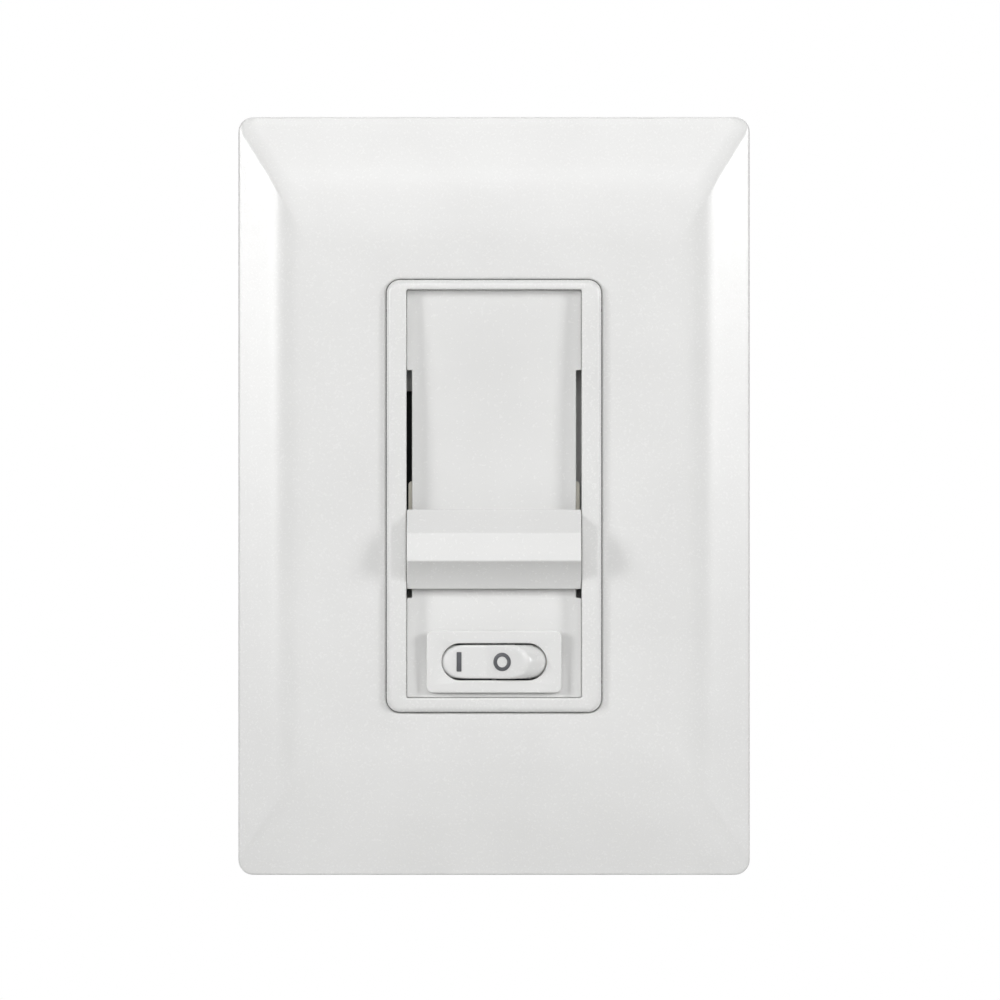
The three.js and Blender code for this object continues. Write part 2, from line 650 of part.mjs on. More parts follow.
function rockerCradle() {
  const { halfWidth, halfHeight, front, back } = CRADLE;
  const [z0, z1] = [ROCKER_Z - halfHeight, ROCKER_Z + halfHeight];
  const shell = block(-halfWidth, halfWidth, front, back, z0, z1);
  const pocket = block(-halfWidth + 1, halfWidth - 1, front - 1, back - 1.2, ROCKER_Z - 3, ROCKER_Z + 3);
  const axle = uprightBar(AXLE_RADIUS + GAP, 2 * halfHeight + 2, 0, PIVOT_Y, ROCKER_Z, 12);
  const legSlot = (x) => block(x - 1.3, x + 1.3, back - 3, back + 1, ROCKER_Z - 2.5, ROCKER_Z + 2.5);
  return cut(shell, pocket, axle, legSlot(0), legSlot(7));
}

const contactLeg = (x, y0, foot) => join(
  block(x - 0.9, x + 0.9, y0, 9.6, ROCKER_Z - 2, ROCKER_Z + 2),
  block(x - 0.5, x + 0.5, 9.4, foot, ROCKER_Z - 2, ROCKER_Z + 2),
);
add('rocker_cradle', rockerCradle(), BLACK_PLASTIC);
add('centre_contact', contactLeg(0, 7.1, 14), BRASS);
add('fixed_contact', contactLeg(7, 8.7, 14), BRASS);

// ---- Circuit board and its parts ----------------------------------------------------------

const { halfWidth: boardHalf, bottom: boardBottom, top: boardTop } = BOARD;
const boardZ = (boardTop + boardBottom) / 2;
const boardShape = roundedRectangle(2 * boardHalf, boardTop - boardBottom, 1, 0, boardZ);
add('circuit_board', slab(boardShape, BOARD.front, BOARD.back), BOARD_GREEN);

add('triac_insulator', cut(
  block(TRIAC.x - 6, TRIAC.x + 6, GAP, 0.7, TRIAC.bottom - 1, 25),
  bar(CLEARANCE.housingScrew, 0, 1, TRIAC.x, TRIAC.screwZ),
), FIBRE);

function triac() {
  const { x, bottom, bodyTop, tabTop, halfWidth } = TRIAC;
  const leads = [-2.54, 0, 2.54].flatMap((offset) => [
    block(x + offset - 0.4, x + offset + 0.4, 2.6, 3.4, 3, bottom + 0.5),
    block(x + offset - 0.4, x + offset + 0.4, 2.6, 8, 2.6, 3.4),
  ]);
  const tab = block(x - halfWidth, x + halfWidth, 1, 2.3, bottom + 1, tabTop);
  const body = block(x - halfWidth, x + halfWidth, 1, 5.4, bottom, bodyTop);
  return cut(join(body, tab, ...leads), bar(CLEARANCE.housingScrew, 0, 4, x, TRIAC.screwZ));
}

add('triac', triac(), BLACK_PLASTIC);
const triacScrew = add(
  'triac_screw',
  screw({ head: 2.6, headDepth: 1.8, shank: 1.4, length: 5.6, recess: 'cross' }),
  ZINC_STEEL,
);
triacScrew.rotation.z = Math.PI;
triacScrew.position.set(TRIAC.x, 4.4, TRIAC.screwZ);

// the choke stands along Z on the rear face of the board
const CHOKE = { x: 3.5, y: 19.5, z: -5, halfLength: 10, flange: 1.3, turns: 10 };

function uprightTurned(profile) {
  const geometry = turned(profile, 16);
  geometry.rotateX(Math.PI / 2);
  geometry.translate(CHOKE.x, CHOKE.y, CHOKE.z);
  return geometry;
}

function chokeBobbin() {
  const end = CHOKE.halfLength;
  const inner = end - CHOKE.flange;
  return uprightTurned([
    [3, -end], [7.5, -end], [7.5, -inner], [4.2, -inner],
    [4.2, inner], [7.5, inner], [7.5, end], [3, end], [3, -end],
  ]);
}

function chokeWinding() {
  const half = CHOKE.halfLength - CHOKE.flange - GAP;
  const pitch = (2 * half) / CHOKE.turns;
  const profile = [[4.5, -half]];
  for (let turn = 0; turn < CHOKE.turns; turn += 1) {
    const y = turn * pitch - half;
    profile.push([6.3, y], [6.9, y + pitch / 2]);
  }
  profile.push([6.3, half], [4.5, half], [4.5, -half]);
  return uprightTurned(profile);
}

const coreEnd = CHOKE.halfLength + 1.5;
const core = uprightTurned([[0, -coreEnd], [2.6, -coreEnd], [2.6, coreEnd], [0, coreEnd]]);
add('choke_bobbin', chokeBobbin(), NATURAL_NYLON);
add('choke_core', core, FERRITE);
add('choke_winding', chokeWinding(), COPPER);

const boardRear = BOARD.back + GAP;
add('film_capacitor_large', block(-13.2, -1.2, boardRear, 21, 9, 24), FILM_RED);
add('film_capacitor_small', block(-15, -6, boardRear, 17, -14, -3), FILM_RED);

// A two-lead part lying along X behind the board.
function axialPart(x, z, radius, halfLength) {
  const body = new THREE.CylinderGeometry(radius, radius, 2 * halfLength, 12);
  body.rotateZ(Math.PI / 2);
  const y = boardRear + radius;
  body.translate(x, y, z);
  const leads = [-1, 1].flatMap((side) => {
    const [x0, x1] = [side * (halfLength - 0.5), side * (halfLength + 1.5)].sort((a, b) => a - b);
    const bend = side * (halfLength + 1.2);
    return [
      block(x + x0, x + x1, y - 0.3, y + 0.3, z - 0.3, z + 0.3),
      block(x + bend - 0.3, x + bend + 0.3, boardRear, y + 0.2, z - 0.3, z + 0.3),
    ];
  });
  return join(body, ...leads);
}

add('diac', axialPart(9, 23.5, 1, 2), RESISTOR_TAN);
add('resistor_1', axialPart(6, 19.5, 1.2, 3.2), RESISTOR_TAN);
add('resistor_2', axialPart(6, 15, 1.2, 3.2), RESISTOR_TAN);

// ---- Back housing and terminals -----------------------------------------------------------

function backHousing() {
  const { width, height, corner, front, back, wall } = HOUSING;
  const chamfer = 1.6;
  const shell = loft([
    ring(width - 2 * chamfer, height - 2 * chamfer, corner - 1, back),
    ring(width, height, corner, back - chamfer),
    ring(width, height, corner, front),
  ], true);
  const hollow = slab(roundedRectangle(width - 2 * wall, height - 2 * wall, 1.2), front - 1, back - wall);
  const blocks = [];
  const tools = [slab(roundedRectangle(26, 20, 1), back - 0.4, back + 1)];
  for (const x of [-HOUSING_SCREW.x, HOUSING_SCREW.x]) {
    for (const z of [-HOUSING_SCREW.z, HOUSING_SCREW.z]) {
      blocks.push(bar(3.3, front, back - 1, x, z));
      tools.push(bar(CLEARANCE.housingScrew, front - 1, back + 1, x, z));
      tools.push(bar(3.05, back - 2.2, back + 1, x, z));
    }
  }
  for (const { side, z } of TERMINALS) {
    const { y, half, floor } = TERMINAL;
    const cheek = 1.4; // wall round each terminal's pocket
    const reach = half + cheek;
    const inner = floor - cheek;
    blocks.push(sideBlock(side, inner, width / 2 - 1, y - reach, y + reach, z - reach, z + reach));
    tools.push(sideBlock(side, floor, width / 2 + 1, y - half, y + half, z - half, z + half));
    const shankHole = bar(TERMINAL.bore, 0, 8, 0, 0, 12);
    shankHole.rotateZ(Math.PI / 2);
    shankHole.translate(side * floor + 4, y, z);
    tools.push(shankHole);
  }
  return cut(join(cut(shell, hollow), ...blocks), ...tools);
}

add('back_housing', backHousing(), BLACK_PLASTIC);

for (const { name, side, z } of TERMINALS) {
  const { y, floor } = TERMINAL;
  const plateOuter = floor + 1.2;
  const across = bar(1.8, -30, 30, 0, 0, 12);
  across.rotateZ(Math.PI / 2);
  across.translate(0, y, z);
  const clampHalf = 3.8;
  const [y0, y1] = [y - clampHalf, y + clampHalf];
  const clamp = cut(sideBlock(side, floor + GAP, plateOuter, y0, y1, z - clampHalf, z + clampHalf), across);
  add(`terminal_clamp_${name}`, clamp, BRASS);
  const terminalScrew = screw({ head: 3.2, headDepth: 2, shank: 1.5, length: 7, recess: 'cross' });
  const mesh = add(`terminal_screw_${name}`, terminalScrew, BRASS);
  mesh.rotation.z = (side * Math.PI) / 2;
  mesh.position.set(side * (plateOuter + GAP + 2), y, z);
  const strip = join(
    sideBlock(side, 15.2, 16.4, y0, y1, z - 3.6, z + 3.6),
    sideBlock(side, 15.2, 16.4, boardRear, y - 3, z - 1, z + 1),
  );
  add(`terminal_strip_${name}`, cut(strip, across), BRASS);
}

let housingScrewNumber = 0;
for (const x of [-HOUSING_SCREW.x, HOUSING_SCREW.x]) {
  for (const z of [-HOUSING_SCREW.z, HOUSING_SCREW.z]) {
    housingScrewNumber += 1;
    const length = HOUSING.back - 0.2 + 1.3;
    const geometry = screw({ head: 2.7, headDepth: 1.6, shank: 1.4, length, recess: 'cross' });
    const mesh = add(`housing_screw_${housingScrewNumber}`, geometry, ZINC_STEEL);
    mesh.rotation.z = Math.PI;
    mesh.position.set(x, HOUSING.back - 0.2, z);
  }
}

export default dimmer;
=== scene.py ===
import json
import math

import bmesh
import bpy
from mathutils import Matrix, Vector


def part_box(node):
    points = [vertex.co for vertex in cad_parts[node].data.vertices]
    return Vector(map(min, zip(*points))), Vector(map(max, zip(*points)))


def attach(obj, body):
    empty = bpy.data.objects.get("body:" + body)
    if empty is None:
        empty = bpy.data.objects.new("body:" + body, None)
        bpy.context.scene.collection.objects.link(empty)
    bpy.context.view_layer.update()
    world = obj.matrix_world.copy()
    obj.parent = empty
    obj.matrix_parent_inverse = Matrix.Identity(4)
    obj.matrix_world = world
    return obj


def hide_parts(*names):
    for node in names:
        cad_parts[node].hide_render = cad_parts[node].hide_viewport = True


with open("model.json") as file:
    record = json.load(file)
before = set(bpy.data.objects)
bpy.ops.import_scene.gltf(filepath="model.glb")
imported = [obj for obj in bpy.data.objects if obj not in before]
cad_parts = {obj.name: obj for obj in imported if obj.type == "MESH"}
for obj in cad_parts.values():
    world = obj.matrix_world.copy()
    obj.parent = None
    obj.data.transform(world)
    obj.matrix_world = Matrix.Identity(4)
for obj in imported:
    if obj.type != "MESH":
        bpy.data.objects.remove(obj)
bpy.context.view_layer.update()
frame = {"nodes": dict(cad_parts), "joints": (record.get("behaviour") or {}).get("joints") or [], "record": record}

bl_info = {
    "name": "Slide Dimmer",
    "version": (1, 0, 0),
    "blender": (4, 5, 0),
    "location": "View3D > Sidebar > Dimmer",
    "description": "Fine meshes and finishes for a slide dimmer and its wall plate, on the CAD frame",
    "category": "Object",
}

MM = 0.001
CORNER_STEPS = 10


# ---- Measures from the frame, in millimetres -------------------------------------------

class Span:
    """The box of a CAD node."""

    def __init__(self, node):
        low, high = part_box(node)
        self.left, self.front, self.bottom = (value / MM for value in low)
        self.right, self.back, self.top = (value / MM for value in high)
        self.width = self.right - self.left
        self.height = self.top - self.bottom
        self.x = (self.left + self.right) / 2
        self.z = (self.bottom + self.top) / 2


COVER = Span("wall_plate_cover")
SUBPLATE = Span("mounting_subplate")
STRAP = Span("mounting_strap")
BEZEL = Span("face_bezel")
PANEL = Span("face_panel")
PAD = Span("rocker_escutcheon")
KNOB = Span("slider_knob")
HOUSING = Span("back_housing")
GROUND = Span("ground_screw")
TRIAC_SCREW = Span("triac_screw")
BOX_SCREW = Span("box_screw_top")
HOUSING_SCREW = Span("housing_screw_4")
PLATE_SCREW_Z = Span("subplate_screw_top").z
TERMINAL_NAMES = ("line", "load", "traveller")

JOINTS = {joint["name"]: joint for joint in frame["joints"]}
ROCKER_PIVOT = Vector(JOINTS["rocker_tilt"]["pos_m"])
ROCKER_SWING = math.radians(JOINTS["rocker_tilt"]["range_deg"][1])

OPENING = {"width": 33.3, "height": 66.8, "corner": 2.2, "collar": 1.5, "depth": 2.8}
RECESS = {"width": 27.0, "bottom": -31.1, "top": 31.8}
RECESS_Z = (RECESS["bottom"] + RECESS["top"]) / 2
LEG_SLOT = {"inner": 12.65, "bottom": -15.7, "top": 19.4}
LEVER_SLOT = {"left": -13.9, "right": -9.6, "bottom": -8.2, "top": 16.2}
PILL = {"width": 16.2, "height": 5.7}
CLEARANCE = {"plate": 1.85, "housing": 1.75, "ground": 2.1}  # hole radii
TERMINAL_BORE = 1.85
PEG = {"x": 9.3, "rise": 3.75, "radius": 0.45}
KNOB_DEPTH = {"back": -7.1, "top": -8.3, "ridge": -11.6, "lip": -12.3, "scoop": -9.9, "foot": -7.8}
KNOB_DROP = {"ridge": 3.6, "lip": 7.9, "scoop": 9.3, "foot": 12.2}  # below the knob's top
# head radius, head depth and shank radius of each kind of screw
SCREWS = {
    "plate": (2.7, 1.2, 1.5), "box": (3.0, 2.0, 1.5), "housing": (2.7, 1.6, 1.4),
    "ground": (3.6, 2.6, 1.8), "terminal": (3.2, 2.0, 1.5),
}
LEG = {"inner": 12.82, "outer": 13.22, "foot_inner": 11.9, "bottom": -13, "top": -4}


# ---- Mesh tools, all in millimetres ----------------------------------------------------

def outline(width, height, radius, x=0.0, z=0.0, steps=CORNER_STEPS):
    """Points of a rounded rectangle in X and Z."""
    points = []
    for corner, (sign_x, sign_z) in enumerate(((1, 1), (-1, 1), (-1, -1), (1, -1))):
        for step in range(steps + 1):
            angle = (corner + step / steps) * math.pi / 2
            points.append((
                x + sign_x * (width / 2 - radius) + radius * math.cos(angle),
                z + sign_z * (height / 2 - radius) + radius * math.sin(angle),
            ))
    return points


def circle(radius, x=0.0, z=0.0, steps=40):
    """Points of a circle in X and Z."""
    turns = [2 * math.pi * step / steps for step in range(steps)]
    return [(x + radius * math.cos(turn), z + radius * math.sin(turn)) for turn in turns]


def ring(width, height, radius, y, x=0.0, z=0.0):
    """A rounded rectangle at one depth, for a loft."""
    return [(px, y, pz) for px, pz in outline(width, height, radius, x, z)]


def rounded(corners, steps=5):
    """An outline from (u, v, radius) corners: each corner with a radius becomes an arc."""
    points = []
    for i, (u, v, radius) in enumerate(corners):
        here = Vector((u, v))
        if radius == 0:
            points.append((u, v))
            continue
        before = (Vector(corners[i - 1][:2]) - here).normalized()
        after = (Vector(corners[(i + 1) % len(corners)][:2]) - here).normalized()
        half = before.angle(after) / 2
        centre = here + (before + after).normalized() * radius / math.sin(half)
        start = here + before * radius / math.tan(half) - centre
        end = here + after * radius / math.tan(half) - centre
        first = math.atan2(start.y, start.x)
        sweep = (math.atan2(end.y, end.x) - first + math.pi) % (2 * math.pi) - math.pi
        for step in range(steps + 1):
            angle = first + sweep * step / steps
            points.append((centre.x + radius * math.cos(angle), centre.y + radius * math.sin(angle)))
    return points


def new_piece(name, data):
    """A new object in the scene, holding a mesh, curve, camera or light."""
    piece = bpy.data.objects.new(name, data)
    bpy.context.scene.collection.objects.link(piece)
    return piece


def from_bmesh(name, mesh):
    """A piece from a closed bmesh in millimetres, its faces turned outwards."""
    bmesh.ops.scale(mesh, vec=(MM, MM, MM), verts=mesh.verts)
    bmesh.ops.recalc_face_normals(mesh, faces=mesh.faces)
    data = bpy.data.meshes.new(name)
    mesh.to_mesh(data)
    mesh.free()
    return new_piece(name, data)


def loft(name, rings, capped):
    """A skin over equal rings of points: closed round a frame, or capped at both ends."""
    mesh = bmesh.new()
    rows = [[mesh.verts.new(point) for point in points] for points in rings]
    pairs = list(zip(rows, rows[1:]))
    if capped:
        mesh.faces.new(rows[0])
        mesh.faces.new(rows[-1])
    else:
        pairs.append((rows[-1], rows[0]))
    for first, second in pairs:
        for i in range(len(first)):
            j = (i + 1) % len(first)
            mesh.faces.new((first[i], first[j], second[j], second[i]))
    return from_bmesh(name, mesh)


def prism(name, points, low, high, lay):
    """A bar of one outline. lay(u, v, w) places outline point (u, v) at w along the bar."""
    return loft(name, [[lay(u, v, w) for u, v in points] for w in (low, high)], True)


def upright(u, v, w):
    """Lays a prism's outline in X and Z, with its length along Y."""
    return (u, w, v)


def block(name, x0, x1, y0, y1, z0, z1):
    """A sharp-edged block between six planes, as a tool for cutting or joining."""
    return prism(name, [(x0, z0), (x1, z0), (x1, z1), (x0, z1)], y0, y1, upright)


def bar(name, radius, y0, y1, x, z, steps=40):
    """A round tool along Y."""
    return prism(name, circle(radius, x, z, steps), y0, y1, upright)


def settle(piece):
    """Bakes a piece's modifiers, curve and place into one plain mesh."""
    bpy.context.view_layer.update()
    graph = bpy.context.evaluated_depsgraph_get()
    data = bpy.data.meshes.new_from_object(piece.evaluated_get(graph))
    data.transform(piece.matrix_world)
    name = piece.name
    bpy.data.objects.remove(piece)
    data.name = name
    return new_piece(name, data)


def plate(name, edge, holes, front, back, soft=0.15):
    """A sheet between two depths with a rounded edge, from an outline and its holes."""
    curve = bpy.data.curves.new(name, "CURVE")
    curve.dimensions = "2D"
    curve.fill_mode = "BOTH"
    for points in (edge, *holes):
        spline = curve.splines.new("POLY")
        spline.points.add(len(points) - 1)
        spline.use_cyclic_u = True
        for point, (x, z) in zip(spline.points, points):
            point.co = (x * MM, z * MM, 0, 1)
    curve.extrude = ((back - front) / 2 - soft) * MM
    curve.bevel_depth = soft * MM
    curve.bevel_resolution = 2
    curve.offset = -soft * MM
    piece = new_piece(name, curve)
    stand = Matrix.Rotation(math.pi / 2, 4, "X")
    piece.matrix_world = Matrix.Translation((0, (front + back) / 2 * MM, 0)) @ stand
    piece = settle(piece)
    mesh = bmesh.new()
    mesh.from_mesh(piece.data)
    bmesh.ops.remove_doubles(mesh, verts=mesh.verts, dist=1e-7)
    bmesh.ops.recalc_face_normals(mesh, faces=mesh.faces)
    mesh.to_mesh(piece.data)
    mesh.free()
    return piece


def combine(piece, operation, *tools):
    """Joins tools to a piece (UNION), cuts them from it (DIFFERENCE) or keeps what they share."""
    for tool in tools:
        modifier = piece.modifiers.new("shape", "BOOLEAN")
        modifier.operation = operation
        modifier.solver = "EXACT"
        modifier.object = tool
    piece = settle(piece)
    for tool in tools:
        bpy.data.objects.remove(tool)
    return piece


def soften(piece, width, segments=2, angle=38):
    """Rounds every edge sharper than the angle."""
    modifier = piece.modifiers.new("soft_edges", "BEVEL")
    modifier.width = width * MM
    modifier.segments = segments
    modifier.limit_method = "ANGLE"
    modifier.angle_limit = math.radians(angle)
    modifier.miter_outer = "MITER_ARC"
    return settle(piece)


def turn(piece, centre, angle, axis):
    """Turns a piece's mesh about an axis through a point given in metres."""
    there = Matrix.Translation(centre)
    piece.data.transform(there @ Matrix.Rotation(angle, 4, axis) @ there.inverted())
    return piece


def place(piece, body, slot, finish, *nodes):
    """Shades a finished piece, gives it its material and body, and hides the CAD nodes it replaces. The slot
    argument is not used.
    """
    piece.data.shade_smooth()
    piece.data.set_sharp_from_angle(angle=math.radians(35))
    weighted = piece.modifiers.new("flat_faces", "WEIGHTED_NORMAL")
    weighted.keep_sharp = True
    weighted.weight = 100
    piece.data.materials.clear()
    piece.data.materials.append(finish)
    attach(piece, body)
    if nodes:
        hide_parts(*nodes)
    return piece


# ---- Finishes --------------------------------------------------------------------------

def linear(hex_code):
    """The linear RGBA of an sRGB hex colour."""
    channels = []
    for start in (0, 2, 4):
        value = int(hex_code[start:start + 2], 16) / 255
        if value <= 0.04045:
            channels.append(value / 12.92)
        else:
            channels.append(((value + 0.055) / 1.055) ** 2.4)
    return (*channels, 1.0)


def add_node(tree, kind, inputs=None, **settings):
    """Adds a node, sets its properties, and sets or links its inputs."""
    node = tree.nodes.new(kind)
    for key, value in settings.items():
        setattr(node, key, value)
    for key, value in (inputs or {}).items():
        if isinstance(value, bpy.types.NodeSocket):
            tree.links.new(value, node.inputs[key])
        else:
            node.inputs[key].default_value = value
    return node


def surface(name, dark, light, roughness, grain, relief, ior=1.5, metallic=0.0, drift=15.0,
            stretch=(1, 1, 1), gloss_range=0.05):
    """A finish with a slow drift between two tones, a grain in relief, and gloss that varies.
    grain, relief and drift are the grain's size, its height and the drift's size in mm."""
    material = bpy.data.materials.new(name)
    material.use_nodes = True
    tree = material.node_tree
    tree.nodes.clear()
    where = add_node(tree, "ShaderNodeTexCoord").outputs["Object"]
    tones = add_node(tree, "ShaderNodeTexNoise", {
        "Vector": where, "Scale": 1 / (drift * MM), "Detail": 2.0,
    })
    ramp = add_node(tree, "ShaderNodeValToRGB", {"Fac": tones.outputs["Fac"]})
    ramp.color_ramp.elements[0].position = 0.3
    ramp.color_ramp.elements[0].color = linear(dark)
    ramp.color_ramp.elements[1].position = 0.7
    ramp.color_ramp.elements[1].color = linear(light)
    along = add_node(tree, "ShaderNodeMapping", {"Vector": where, "Scale": stretch})
    grains = add_node(tree, "ShaderNodeTexNoise", {
        "Vector": along.outputs["Vector"], "Scale": 1 / (grain * MM), "Detail": 3.0, "Roughness": 0.6,
    })
    gloss = add_node(tree, "ShaderNodeMapRange", {
        "Value": grains.outputs["Fac"], "From Min": 0.3, "From Max": 0.7,
        "To Min": roughness - gloss_range, "To Max": roughness + gloss_range,
    })
    bump = add_node(tree, "ShaderNodeBump", {"Height": grains.outputs["Fac"], "Distance": relief * MM})
    shader = add_node(tree, "ShaderNodeBsdfPrincipled", {
        "Base Color": ramp.outputs["Color"], "Roughness": gloss.outputs["Result"],
        "Metallic": metallic, "IOR": ior, "Normal": bump.outputs["Normal"],
    })
    add_node(tree, "ShaderNodeOutputMaterial", {"Surface": shader.outputs["BSDF"]})
    return material


def make_finishes(colours):
    """Every finish of the dimmer, by its name."""
    white = (colours.white_shade, colours.white)
    made = [
        # polycarbonate moulded against satin steel: a soft sheen; its grain is drawn coarser than
        # the real 0.05 mm so that it shows
        surface("satin_white_polycarbonate", *white, 0.25, 0.35, 0.0008, ior=1.58),
        # the same plastic from a polished mould: clearer highlights on the face and controls
        surface("polished_white_polycarbonate", *white, 0.24, 0.5, 0.0004, ior=1.58),
        # glass-filled nylon from a spark-eroded mould: matt black with a fine pebble
        surface("glass_filled_black_nylon", "1b1c1e", "2a2b2e", 0.5, 0.45, 0.012, drift=8.0),
        # natural acetal: milky and waxy
        surface("natural_acetal", "dcd7ca", "ebe7dc", 0.4, 0.5, 0.002, ior=1.48),
        # rolled and tumbled aluminium sheet: satin grey, its grain drawn out along the rolling
        surface("rolled_aluminium_sheet", "a6a9ad", "c2c5c8", 0.4, 0.3, 0.003, metallic=1.0,
                stretch=(1, 1, 0.06), gloss_range=0.1),
        # zinc plate with a clear passivate: bright, a little blue
        surface("zinc_plated_steel", "b3b8bc", "d4d8db", 0.28, 0.5, 0.002, metallic=1.0, drift=4.0,
                gloss_range=0.08),
        # drawn steel with a matt black oxide; its black is also painted shade, which darkens the view down the
        # lever slot onto the potentiometer case
        surface("black_oxide_steel_painted_shade", "141516", "1e1f21", 0.55, 0.4, 0.004, drift=4.0),
        # turned and punched brass: warm, bright
        surface("bright_brass", "b9914a", "d9b86c", 0.26, 0.4, 0.002, metallic=1.0, drift=4.0,
                gloss_range=0.08),
        # zinc plate dyed green, the mark of an earth screw
        surface("green_dyed_zinc_plate", "1d6435", "2f8b4c", 0.3, 0.4, 0.002, metallic=0.7, drift=4.0),
        # copper strip and enamelled wire
        surface("enamelled_copper", "a45a32", "c87a4c", 0.3, 0.3, 0.002, metallic=1.0, drift=3.0),
        # vulcanised fibre: pressed grey-brown paper with a dry, felted face
        surface("vulcanised_fibre", "93805f", "bca781", 0.8, 0.3, 0.02, drift=2.0),
        # fired ferrite: dark and dry
        surface("fired_ferrite", "2b2b2d", "404043", 0.65, 0.4, 0.01, ior=1.6, drift=3.0),
        # phenolic paper board
        surface("phenolic_paper_board", "5c391e", "7d522d", 0.5, 0.4, 0.004, ior=1.6, drift=3.0),
        # glass-epoxy board under green solder mask
        surface("green_solder_mask", "1e5838", "2f754d", 0.35, 0.7, 0.006, ior=1.55, drift=5.0),
        # epoxy dipped over film capacitors: glossy and slightly lumpy
        surface("dipped_red_epoxy", "8a2b1f", "ad4232", 0.22, 2.5, 0.03, ior=1.55, drift=4.0),
        # lacquer on resistor bodies
        surface("tan_resistor_lacquer", "b39059", "cfb080", 0.28, 1.2, 0.02, drift=2.0),
        # calendered polypropylene sheet: white, waxy, nearly smooth
        surface("white_polypropylene_sheet", "e6e6e4", "ececea", 0.45, 0.6, 0.002, ior=1.49),
        # grey moulded-in power marks
        surface("grey_moulded_mark", "4b4c50", "5a5b5f", 0.4, 0.4, 0.001, drift=2.0),
    ]
    return {material.name: material for material in made}


CAD_FINISHES = {
    "white_polycarbonate": "satin_white_polycarbonate",
    "white_polypropylene": "white_polypropylene_sheet",
    # the potentiometer case: black oxide, its black also painted shade in the lever slot
    "blackened_steel": "black_oxide_steel_painted_shade",
    "black_nylon": "glass_filled_black_nylon",
    "natural_acetal": "natural_acetal",
    "aluminium_sheet": "rolled_aluminium_sheet",
    "zinc_plated_steel": "zinc_plated_steel",
    "brass": "bright_brass",
    "green_steel": "green_dyed_zinc_plate",
    "copper": "enamelled_copper",
    "vulcanised_fibre": "vulcanised_fibre",
    "ferrite": "fired_ferrite",
    "phenolic_board": "phenolic_paper_board",
    "green_circuit_board": "green_solder_mask",
    "red_film_capacitor": "dipped_red_epoxy",
    "lacquered_resistor": "tan_resistor_lacquer",
}


def finish(name):
    """A material that make_finishes has made."""
    return bpy.data.materials[name]


# ---- Settings --------------------------------------------------------------------------

class DimmerSizes(bpy.types.PropertyGroup):
    """Sizes of visible shapes that the frame's boxes don't give, in millimetres."""

    side_margin: bpy.props.FloatProperty(
        name="Side Margin", description="Width of the sloping margin at each side, in mm",
        default=12.0, min=4.0)
    end_margin: bpy.props.FloatProperty(
        name="End Margin", description="Height of the sloping margins at top and bottom, in mm",
        default=19.0, min=4.0)
    straight: bpy.props.FloatProperty(
        name="Straight Share", description="Share of a margin that slopes evenly before it eases flat",
        default=0.4, min=0.0, max=0.95)
    rim: bpy.props.FloatProperty(
        name="Rim Height", description="Height of the plate's upright edge, in mm", default=2.8, min=1.0)
    soft_edge: bpy.props.FloatProperty(
        name="Soft Edge", description="Radius of the edge round the opening, in mm", default=0.4, min=0.05)
    hollow: bpy.props.FloatProperty(
        name="Panel Hollow", description="How deep the face panel is dished, in mm", default=0.8, min=0.0)


class DimmerColours(bpy.types.PropertyGroup):
    """Tones of the white plastic, as sRGB hex."""

    white: bpy.props.StringProperty(
        name="White", description="Lighter tone of the white plastic, an sRGB hex code", default="e2e2e1")
    white_shade: bpy.props.StringProperty(
        name="White Shade", description="Darker tone of the white plastic, an sRGB hex code",
        default="dededd")


class DimmerStage(bpy.types.PropertyGroup):
    """The camera's distance and the lights."""

    distance: bpy.props.FloatProperty(
        name="Camera Distance", description="Distance from the wall plane to the camera",
        default=1.6, unit="LENGTH")
    key: bpy.props.FloatProperty(
        name="Key Light", description="Power of the large light above the camera, in watts",
        default=9.3, min=0.0)
    overhead: bpy.props.FloatProperty(
        name="Overhead Light", description="Power of the large light overhead in front, in watts",
        default=5.0, min=0.0)
    top: bpy.props.FloatProperty(
        name="Top Light", description="Power of the small light that the upper margin mirrors, in watts",
        default=1.2, min=0.0)
    sides: bpy.props.FloatProperty(
        name="Side Lights", description="Power of each light that a side margin mirrors, in watts",
        default=7.6, min=0.0)
    back: bpy.props.FloatProperty(
        name="Back Light", description="Power of the large light overhead behind, in watts",
        default=24.0, min=0.0)
    sky: bpy.props.FloatProperty(
        name="Ambient", description="Strength of the light from all round", default=0.03, min=0.0)


# ---- Stage -----------------------------------------------------------------------------

